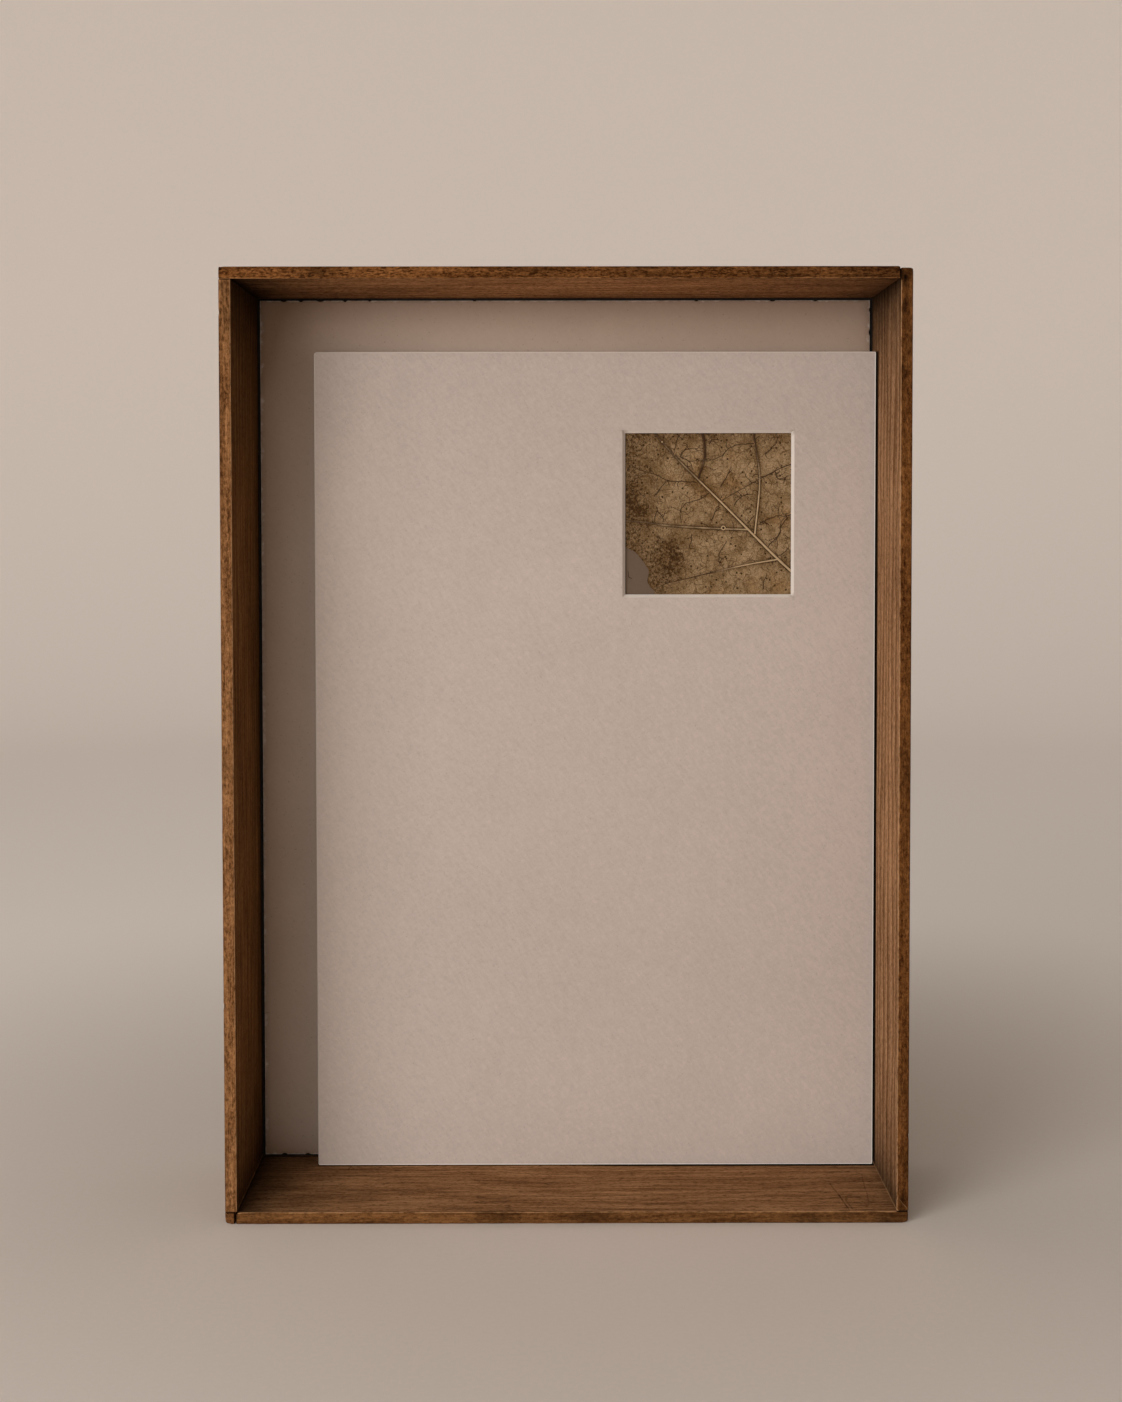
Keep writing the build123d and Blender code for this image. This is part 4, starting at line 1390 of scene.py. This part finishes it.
fineVeins = [
    [(0.6, 9.8), (-2.8, 7.7), (-11.6, 4.3), (-13.3, 0.9), (-12.9, -3.8)],
    [(-5.5, 15.2), (-11.6, 15.5), (-19.7, 16.2), (-23.8, 18.2), (-30.6, 20.5), (-36.1, 22.6)],
    [(6, 13.1), (9.4, 18.6), (11.4, 23.3)],
    [(22.1, 33.8), (12, 32.7), (5.3, 27.4), (-0.8, 25.3)],
    [(27.6, 28.7), (31.8, 32.8), (34.5, 38.2)],
    [(35.3, -20), (39.3, -16.6)],
    [(-14.4, 38.2), (-15.4, 34.2), (-17.1, 28.1)],
    [(-13.4, 27.7), (-11.7, 30.4), (-8.3, 31.4), (-4.9, 31.3)],
    [(-13.4, 27.7), (-9, 25.3), (-4.2, 26.4)],
    [(32.4, 20.3), (33.4, 17.2), (37.9, 16.2), (41, 17)],
    [(12.8, 4), (15.5, 7.7), (18.9, 9.6)],
    [(2.2, -2.5), (3.9, 1.6), (6, 3.3)],
    [(18.9, -4.5), (22.3, -1.1)],
    [(25, -4.5), (29, -2.5), (34.5, -1.1), (38.5, -1.8)],
    [(6, -24.9), (5.3, -21.5), (7.3, -16), (9, -13.3)],
    [(-7.6, -9.9), (-8.3, -14), (-9.3, -16.7)],
    [(-21.2, -3.8), (-22.5, -0.4), (-25.2, 1.6)],
    [(-33.7, 3.6), (-35.4, 9.1), (-37.8, 13.1)],
    [(-25.9, 8.4), (-23.9, 11.1), (-21.2, 14.5), (-20.5, 16.2)],
    [(26.7, -36.4), (27.3, -32.3), (28.4, -29.6)],
    [(0.5, 33.8), (1.9, 35.5), (5.3, 35.9)],
    [(24.3, 17.2), (29, 18.6), (32.4, 20.6)],
    [(38.9, -1.7), (35.8, -5.5), (33.8, -10.6), (29, -13.3)],
]
for index, knots in enumerate(fineVeins):
    veins["fine" + str(index)] = (knots, fineVein["widths"], fineVein["tones"])

veinLines = {}
for name, (knots, widths, tones) in veins.items():
    veinLines[name] = curveThrough([(u, v, 0) for u, v in knots], leafShape["veinStep"])
for name, line in veinLines.items():
    if name.startswith("fine"):
        for spot in line[1:]:
            spot += fineVein["jagged"] * Vector((wander(spot, 1.9, 11), wander(spot, 1.9, 12), 0))

veinTree = kdtree.KDTree(sum(len(line) for line in veinLines.values()))
veinWidths = []
besideVeins = []  # rows of points along both sides of the main veins, so that the blade can dip there
for name, line in veinLines.items():
    knots, widths, tones = veins[name]
    for index, spot in enumerate(line):
        width = widths[0] + (widths[1] - widths[0]) * index / (len(line) - 1)
        veinTree.insert(spot, len(veinWidths))
        veinWidths.append(width)
        if not name.startswith("fine") and 0 < index < len(line) - 1:
            across = (line[index + 1] - line[index - 1]).normalized().cross(Vector((0, 0, 1)))
            for side in (-1, 1):
                besideVeins += [spot + across * side * (width / 2 + off) for off in (0.1, 0.8)]
for (u, v), ring, thick, tone in galls:
    besideVeins += [Vector((u + 0.7 * math.cos(turn), v + 0.7 * math.sin(turn), 0)) for turn in range(6)]
veinTree.balance()


def growTwigs():
    # Short jagged twigs off the veins, and loose ones between them, drawn at random.
    chance = random.Random(twigs["seed"])
    roots = []
    for line in list(veinLines.values()):
        for spot, ahead in zip(line, line[1:]):
            if chance.random() < twigs["perPoint"]:
                turn = chance.choice((-1, 1)) * math.radians(chance.uniform(35, 80))
                roots.append((spot, math.atan2(ahead.y - spot.y, ahead.x - spot.x) + turn))
    for index in range(twigs["loose"]):
        spot = Vector((chance.uniform(-46, 46), chance.uniform(-44, 44), 0))
        roots.append((spot, chance.uniform(0, 2 * math.pi)))
    for index, (spot, heading) in enumerate(roots):
        knots = [spot.copy()]
        bend = chance.uniform(-18, 18)
        for step in range(chance.randint(3, 8)):
            heading += math.radians(bend + chance.uniform(-32, 32))
            knots.append(knots[-1] + twigs["step"] * Vector((math.cos(heading), math.sin(heading), 0)))
        name = "twig" + str(index)
        wide = chance.uniform(*twigs["widths"])
        veins[name] = (knots, (wide, 0.5 * wide), (chance.uniform(-0.1, 0.35), 0.0))
        veinLines[name] = knots


def bladeHeight(u, v):
    # How far the blade's upper side stands off the mount board.
    seed = leafShape["seed"]
    swell = leafShape["pucker"] * (0.5 + 0.5 * wander((u, v, 0), 13, seed))
    swell += leafShape["crinkle"] * (0.5 + 0.5 * wander((u, v, 0), 3.2, seed + 1))
    nearest, index, distance = veinTree.find((u, v, 0))
    swell -= 0.10 * veinWidths[index] * math.exp(-((distance / 2.2) ** 2))
    return leafShape["thickness"] + leafShape["lift"] + max(0, swell)


def isInside(spot, outline):
    inside = False
    for (startX, startY), (stopX, stopY) in outline:
        if (startY > spot[1]) != (stopY > spot[1]):
            if spot[0] < (stopX - startX) * (spot[1] - startY) / (stopY - startY) + startX:
                inside = not inside
    return inside


def leafOutline():
    outline = []
    for margin in leafMargins:
        line = curveThrough([(u, v, 0) for u, v in margin], leafShape["marginStep"])
        for spot in line[:-1]:
            ragged = 0.30 * wander(spot, 2.6, 5) + 0.14 * wander(spot, 0.9, 6)
            outline.append(Vector((spot.x + ragged, spot.y + ragged)))
    return outline


def bladeSpots(outline, sides, margin):
    # The outline's points, an uneven grid within it and the rows beside the veins.
    spots = list(outline)
    step = leafShape["gridStep"]
    for row in leafShape["rows"]:
        for column in leafShape["columns"]:
            u = step * (column + 0.5 * (row % 2))
            v = step * row
            u += 0.3 * wander((u, v, 0), 1.7, 2)
            if margin.find((u, v, 0))[2] > 0.6 * step and isInside((u, v), sides):
                spots.append(Vector((u, v)))
    for spot in besideVeins:
        if margin.find(spot)[2] > 0.5 and isInside(spot, sides):
            spots.append(spot.xy)
    return spots


def bladeMasks(spot, margin):
    # The haze beside veins and round the margin, and the dark borders of veins and galls.
    nearest, index, distance = veinTree.find((spot.x, spot.y, 0))
    width = veinWidths[index]
    rim = math.exp(-margin.find((spot.x, spot.y, 0))[2] / 0.7)
    haze = max(rim, math.exp(-((distance / (0.7 + 1.7 * width)) ** 2)) * ease(width, 0.25, 0.8))
    pit = max(math.exp(-(((spot - Vector(gall[0])).length / 1.5) ** 2)) for gall in galls)
    beside = max(0, distance - width / 2)
    return haze, max(pit, math.exp(-((beside / 0.5) ** 2)) * ease(width, 0.35, 0.75))


def leafPoint(u, v, height):
    return Vector((windowX + u, mountFace - height, windowZ + v))


def bladeMesh():
    outline = leafOutline()
    edges = [(index, (index + 1) % len(outline)) for index in range(len(outline))]
    sides = [(tuple(outline[first]), tuple(outline[second])) for first, second in edges]
    margin = kdtree.KDTree(len(outline))
    for index, spot in enumerate(outline):
        margin.insert((spot.x, spot.y, 0), index)
    margin.balance()
    made = geometry.delaunay_2d_cdt(bladeSpots(outline, sides, margin), edges, [], 1, 0.0001)
    flat = made[0]
    points = []
    for side in (0, leafShape["thickness"]):
        points += [leafPoint(spot.x, spot.y, bladeHeight(spot.x, spot.y) - side) for spot in flat]
    behind = len(flat)
    faces, borders = [], {}
    for face in map(list, made[2]):
        a, b, c = (flat[index] for index in face)
        if (b - a).x * (c - a).y - (b - a).y * (c - a).x < 0:
            face.reverse()
        faces += [face, [index + behind for index in reversed(face)]]
        for first, second in zip(face, face[1:] + face[:1]):
            borders[(first, second)] = True
    for first, second in borders:
        if (second, first) not in borders:
            faces.append([second, first, first + behind, second + behind])
    haze, border = zip(*(bladeMasks(spot, margin) for spot in flat))
    return points, faces, [*haze] * 2, [*border] * 2


def makeVeinTree():
    # Edges with a `width` and a `tone` become tapered round veins.
    takes = {"Lines": "shape", "Sides": "whole", "Flatness": "number", "Material": "material"}
    tree, given, result = newGroup("tapered veins", takes, {"Veins": "shape"}, "GeometryNodeTree")
    line = put(tree, "GeometryNodeMeshToCurve", {"Mesh": given["Lines"]})
    ring = put(tree, "GeometryNodeCurvePrimitiveCircle", {"Resolution": given["Sides"], "Radius": 0.5})
    width = put(tree, "GeometryNodeInputNamedAttribute", {"Name": "width"}, data_type="FLOAT").outputs[0]
    tube = put(tree, "GeometryNodeCurveToMesh", {"Curve": line.outputs[0], "Profile Curve": ring.outputs[0],
                                                 "Scale": width, "Fill Caps": True})
    spot = split(tree, put(tree, "GeometryNodeInputPosition").outputs[0])
    low = times(tree, spot["Z"], given["Flatness"])
    where = put(tree, "ShaderNodeCombineXYZ", {"X": spot["X"], "Y": spot["Y"], "Z": low}).outputs[0]
    pressed = put(tree, "GeometryNodeSetPosition", {"Geometry": tube.outputs[0], "Position": where})
    return giveShape(tree, result, pressed.outputs[0], given["Material"])


def veinMesh(material):
    points, edges, widths, tones = [], [], [], []
    for name, line in veinLines.items():
        knots, width, tone = veins[name]
        for index, spot in enumerate(line):
            share = index / (len(line) - 1)
            if index:
                edges.append((len(points) - 1, len(points)))
            points.append(spot * mm)
            wobble = 1 + 0.25 * wander(spot, 3, 4)
            widths.append((width[0] + (width[1] - width[0]) * share) * wobble * mm)
            shift = 0.25 * wander(spot, 5, 8)
            tones.append(min(1, max(0, tone[0] + (tone[1] - tone[0]) * ease(share, 0.1, 0.95) + shift)))
    mesh = bpy.data.meshes.new("vein lines")
    mesh.from_pydata(points, edges, [])
    for label, values in (("width", widths), ("tone", tones)):
        mesh.attributes.new(label, "FLOAT", "POINT").data.foreach_set("value", values)
    values = {"Sides": leafShape["veinSides"], "Flatness": leafShape["veinFlatness"], "Material": material}
    tubes, faces, made = runTree("veins", makeVeinTree(), mesh, values)
    tone = [item.value for item in made.attributes["tone"].data]
    return [leafPoint(u, v, bladeHeight(u, v) + high) for u, v, high in tubes], faces, tone


leafLooks = {
    "pale": (0.318, 0.214, 0.115),
    "olive": (0.215, 0.136, 0.064),
    "brown": (0.082, 0.039, 0.0115),
    "dark": (0.027, 0.011, 0.003),
    "rust": (0.240, 0.128, 0.046),
    "veinTan": (0.42, 0.295, 0.165),
    "veinDark": (0.036, 0.015, 0.0045),
    "netSizes": [(0.15, 0.05, 0.9), (0.33, 0.08, 0.8), (0.75, 0.15, 0.5)],   # meshes per mm, width, strength
    "bladeGloss": 0.06, "veinGloss": 0.12,
    "bladeRelief": 0.26, "veinRelief": 0.08,
}


def bladeMaterial():
    material, tree, shader = newMaterial("dry leaf", leafLooks["bladeGloss"])
    place = objectPlace(tree, shift=(-windowX, 0, -windowZ))
    bent = calcVector(tree, "ADD", place, scaled(tree, driftAt(tree, place, 0.30, 4.0, 0.6), 7.0))
    swayed = calcVector(tree, "ADD", place, scaled(tree, driftAt(tree, place, 0.22, 1.0), 6.0))

    # The blade is browner and more mottled towards the left and the lower left. Towards its top, and in part
    # at its left, the darkening is painted shadow of the window's edges.
    parts = split(tree, bent)
    leftward = spanned(tree, parts["X"], -38.0, -14.0, 1.0, 0.0)
    shadeAtTop = spanned(tree, parts["Z"], 27.0, 41.0, 0.0, 0.75)
    lowLeft = calcVector(tree, "DISTANCE", bent, (-23, mountFace, -24))
    lowLeft = spanned(tree, lowLeft, 5.0, 23.0, 1.05, 0.0)
    agedAndShaded = calc(tree, "MAXIMUM", leftward, calc(tree, "MAXIMUM", lowLeft, shadeAtTop))
    clouds = noiseAt(tree, bent, 0.07, 4.0, 0.6)[0]
    agedAndShaded = calc(tree, "ADD", times(tree, agedAndShaded, 0.85), spanned(tree, clouds, 0.5, 0.72, 0.0, 0.5))

    patches = spanned(tree, noiseAt(tree, bent, 0.14, 5.0, 0.65)[0], 0.38, 0.62)
    colour = mixed(tree, patches, leafLooks["pale"], leafLooks["olive"])
    rust = spanned(tree, noiseAt(tree, bent, 0.06, 2.0)[0], 0.54, 0.70, 0.0, 0.5)
    colour = mixed(tree, rust, colour, leafLooks["rust"])
    stain = spanned(tree, noiseAt(tree, bent, 0.8, 4.0, 0.75)[0], 0.35, 0.57, 0.3)
    stain = times(tree, agedAndShaded, stain)
    colour = mixed(tree, times(tree, stain, 0.85), colour, leafLooks["brown"])

    # Nets of fine veins, in large and small meshes, that fade in and out.
    net = None
    for size, width, share in leafLooks["netSizes"]:
        sockets = {"Vector": swayed, "Scale": size}
        cells = put(tree, "ShaderNodeTexVoronoi", sockets, feature="DISTANCE_TO_EDGE").outputs[0]
        shown = spanned(tree, noiseAt(tree, place, 2 * size, 2.0)[0], 0.36, 0.60, 0.12, share)
        lines = times(tree, spanned(tree, cells, 0.0, width, 1.0, 0.0), shown)
        net = calc(tree, "MAXIMUM", net, lines) if net else lines
    colour = mixed(tree, net, colour, leafLooks["brown"])

    patchy = spanned(tree, noiseAt(tree, place, 0.35, 3.0)[0], 0.30, 0.60, 0.3, 1.0)
    haze = times(tree, times(tree, mask(tree, "haze"), patchy), 0.75)
    colour = mixed(tree, haze, colour, leafLooks["brown"])

    # Mottles, dashes and small dark specks, thicker where the leaf is aged and where the painted shadow lies.
    mottle = noiseAt(tree, place, 0.8, 4.0, 0.75)[0]
    edge = calc(tree, "MULTIPLY_ADD", agedAndShaded, -0.175, 0.665)
    mottled = spanned(tree, calc(tree, "SUBTRACT", mottle, edge), 0.0, 0.05)
    dashes = spanned(tree, noiseAt(tree, bent, 0.5, 3.0, 0.6, 1.8)[0], 0.635, 0.675)
    speck = put(tree, "ShaderNodeTexVoronoi", {"Vector": place, "Scale": 0.42}).outputs
    chosen = spanned(tree, put(tree, "ShaderNodeSeparateColor", {0: speck[1]}).outputs[0], 0.5, 0.55)
    specks = times(tree, spanned(tree, speck[0], 0.14, 0.26, 1.0, 0.0), chosen)
    spotted = times(tree, mottled, 0.75)
    for mark, strength in ((specks, 0.95), (dashes, 0.85), (mask(tree, "border"), 0.9)):
        spotted = calc(tree, "MAXIMUM", spotted, times(tree, mark, strength))
    colour = mixed(tree, spotted, colour, leafLooks["dark"])
    grainy = noiseAt(tree, place, 1.3, 3.0, 0.75)[0]
    colour = scaled(tree, colour, calc(tree, "MULTIPLY_ADD", grainy, 1.2, 0.4))

    height = calc(tree, "MULTIPLY_ADD", net, 0.5, times(tree, grainy, 0.4))
    height = calc(tree, "SUBTRACT", height, times(tree, spotted, 0.35))
    height = calc(tree, "MULTIPLY_ADD", noiseAt(tree, place, 0.6, 3.0)[0], 1.3, height)
    roughness = spanned(tree, grainy, 0.2, 0.8, 0.7, 0.9)
    finish(tree, shader, colour, height, leafLooks["bladeRelief"], roughness)
    return material


def veinMaterial():
    material, tree, shader = newMaterial("dry veins", leafLooks["veinGloss"])
    place = objectPlace(tree)
    fibre = noiseAt(tree, place, 2.2, 3.0, 0.65)[0]
    tone = calc(tree, "ADD", mask(tree, "tone"), calc(tree, "MULTIPLY_ADD", fibre, 0.5, -0.25))
    colour = mixed(tree, spanned(tree, tone, 0.1, 0.85), leafLooks["veinDark"], leafLooks["veinTan"])
    roughness = spanned(tree, fibre, 0.2, 0.8, 0.5, 0.75)
    finish(tree, shader, colour, fibre, leafLooks["veinRelief"], roughness)
    return material


def gallShape(spot, ringRadius, thickness, tone):
    # A bead, or a ring where ringRadius says so.
    profile = []
    for index in range(16 if ringRadius else 9):
        angle = math.pi * index / 8 - math.pi / 2
        profile.append((ringRadius + thickness * math.cos(angle), 0.8 * thickness * math.sin(angle)))
    if not ringRadius:
        profile[0] = (0, profile[0][1])
        profile[-1] = (0, profile[-1][1])
    middle = leafPoint(*spot, bladeHeight(*spot) + 0.35)
    return lathe(profile, 14, middle, (0, -1, 0), ringRadius > 0)


def makeLeaf():
    blade, vein = bladeMaterial(), veinMaterial()
    bladePoints, bladeFaces, haze, border = bladeMesh()
    veinPoints, veinFaces, tones = veinMesh(vein)
    gallShapes = [gallShape(*gall) for gall in galls]
    gallTones = [gall[3] for gall, shape in zip(galls, gallShapes) for point in shape[0]]
    gallPoints, gallFaces = gather(gallShapes)
    points, faces = gather([(bladePoints, bladeFaces), (veinPoints, veinFaces), (gallPoints, gallFaces)])
    others = len(veinPoints) + len(gallPoints)
    kinds = [0] * len(bladeFaces) + [1] * (len(veinFaces) + len(gallFaces))
    masks = {"haze": haze + [0.0] * others, "border": border + [0.0] * others,
             "tone": [0.0] * len(bladePoints) + tones + gallTones}
    made = makeObject("pressed_leaf", points, faces, [blade, vein], masks, kinds)
    keepSharp(made, 70)
    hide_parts("leaf")
    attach(made, "insert")


mountFace = boxOf("mount_board")[0].y
growTwigs()
makeLeaf()
print("leaf made")


# Paper straps over the stalk

straps = {
    "places": (0.15, 0.42),     # along the stalk
    "thickness": 0.12, "width": 4.0, "reach": 8.0,
    "crown": 1.05, "stalkRadius": 0.95, "slope": 1.6,
    "gap": 0.01,                # between the paper and the mount board
    "stepsAcross": 24, "stepsAlong": 5,     # from the middle of a strap to its end and to its side
    "card": {
        "colour": (0.62, 0.54, 0.43), "clouds": 0.2, "marks": 0.10, "fibres": 0.14, "specks": 0.3,
        "relief": 0.03,
    },
}


def strapShape(spot, ahead):
    across = Vector((-ahead.y, ahead.x, 0))
    steps, rows = straps["stepsAcross"], straps["stepsAlong"]
    offs = [straps["reach"] * step / steps for step in range(-steps, steps + 1)]
    foot = straps["stalkRadius"] + straps["slope"]
    grids = []
    for lift in (0, straps["thickness"]):
        grid = []
        for step in range(-rows, rows + 1):
            row = []
            for off in offs:
                rise = straps["crown"] * (1 - ease(abs(off), straps["stalkRadius"], foot))
                away = spot + across * off + ahead * (straps["width"] / 2 * step / rows)
                row.append(leafPoint(away.x, away.y, rise + lift + straps["gap"]))
            grid.append(row)
        grids.append(grid)
    points, faces, kinds = closedSheet(*grids)
    return points, faces


def makeStraps():
    line = veinLines["stalk"]
    shapes = []
    for place in straps["places"]:
        index = round(place * (len(line) - 1))
        shapes.append(strapShape(line[index], (line[index + 1] - line[index - 1]).normalized()))
    made = makeObject("stalk_straps", *gather(shapes), [cardMaterial("strap paper", straps["card"])])
    keepSharp(made, 50)
    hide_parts("leaf_straps")
    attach(made, "insert")


makeStraps()
print("straps made")


# Studio

studio = {
    "radius": 2.6, "bend": 0.7, "wallHeight": 1.9,      # metres
    "floor": (0.79, 0.705, 0.635),
    "glow": (0.175, 0.160, 0.148),          # light added to the paper as it is seen, and to nothing else
    "glowFrom": (130.0, 750.0),             # mm from the case, so that its shadow stays
    "skyColour": (1.0, 0.93, 0.84), "skyStrength": 0.23,
    "lamps": {  # place, diameter, watts, colour
        "key": ((-1.38, -1.82, 0.60), 1.5, 40.0, (0.99, 1.0, 1.01)),
        "fill": ((-0.45, -2.35, 0.50), 1.3, 13.5, (1.0, 0.98, 0.95)),
    },
    "aim": (0, 0, 0.2),
}

camera = {
    "place": (-0.0049, -0.9171, 0.3201),
    "pitchDown": 2.07, "yawRight": 0.17, "roll": 0.07,      # degrees
    "lens": 50.0, "sensor": 36.0,
    "frame": (1122, 1402), "centre": (561.0, 589.8),        # the optical axis in the frame
}


def makeStudio():
    profile = [(0, 0)]
    flat = studio["radius"] - studio["bend"]
    profile += [(flat * index / 6, 0) for index in range(1, 7)]
    for index in range(1, 13):
        angle = math.pi / 2 * index / 12
        profile.append((flat + studio["bend"] * math.sin(angle), studio["bend"] * (1 - math.cos(angle))))
    profile.append((studio["radius"], studio["wallHeight"]))
    scaledProfile = [(radius / mm, height / mm) for radius, height in profile]
    material, tree, shader = newMaterial("studio paper", 0.1)
    place = objectPlace(tree)
    grainy = noiseAt(tree, place, 0.4, 2.0)[0]
    colour = scaled(tree, studio["floor"], calc(tree, "MULTIPLY_ADD", grainy, 0.06, 0.97))
    finish(tree, shader, colour, grainy, 0.02, spanned(tree, grainy, 0, 1, 0.85, 0.95))
    rays = put(tree, "ShaderNodeLightPath").outputs
    seen = calc(tree, "MAXIMUM", rays["Is Glossy Ray"], rays["Is Transmission Ray"])
    seen = calc(tree, "MAXIMUM", rays["Is Camera Ray"], seen)
    away = calcVector(tree, "LENGTH", place)
    seen = times(tree, seen, spanned(tree, away, *studio["glowFrom"]))
    shader.inputs["Emission Color"].default_value = (*studio["glow"], 1)
    tree.links.new(seen, shader.inputs["Emission Strength"])
    points, faces = lathe(scaledProfile, 96)
    floor = makeObject("studio_floor", points, [face[::-1] for face in faces], [material])

    for name, (place, size, watts, colour) in studio["lamps"].items():
        data = bpy.data.lights.new(name, "AREA")
        data.shape = "DISK"
        data.size = size
        data.energy = watts
        data.color = colour
        lamp = bpy.data.objects.new(name, data)
        lamp.location = place
        lamp.rotation_mode = "QUATERNION"
        lamp.rotation_quaternion = (Vector(studio["aim"]) - lamp.location).to_track_quat("-Z", "Y")
        lamp.visible_camera = False
        bpy.context.scene.collection.objects.link(lamp)

    world = bpy.data.worlds.new("sky")
    bpy.context.scene.world = world
    world.use_nodes = True
    sky = world.node_tree.nodes["Background"]
    sky.inputs["Color"].default_value = (*studio["skyColour"], 1)
    sky.inputs["Strength"].default_value = studio["skyStrength"]


def makeCamera():
    data = bpy.data.cameras.new("camera")
    data.lens = camera["lens"]
    data.sensor_width = camera["sensor"]
    width, height = camera["frame"]
    data.shift_x = (width / 2 - camera["centre"][0]) / height
    data.shift_y = (camera["centre"][1] - height / 2) / height
    data.clip_start = 0.01
    obj = bpy.data.objects.new("camera", data)
    obj.location = camera["place"]
    angles = (90 - camera["pitchDown"], camera["roll"], -camera["yawRight"])
    obj.rotation_euler = [math.radians(angle) for angle in angles]
    bpy.context.scene.collection.objects.link(obj)
    bpy.context.scene.camera = obj


makeStudio()
makeCamera()
bpy.context.scene.view_settings.view_transform = "Standard"
print("studio made")
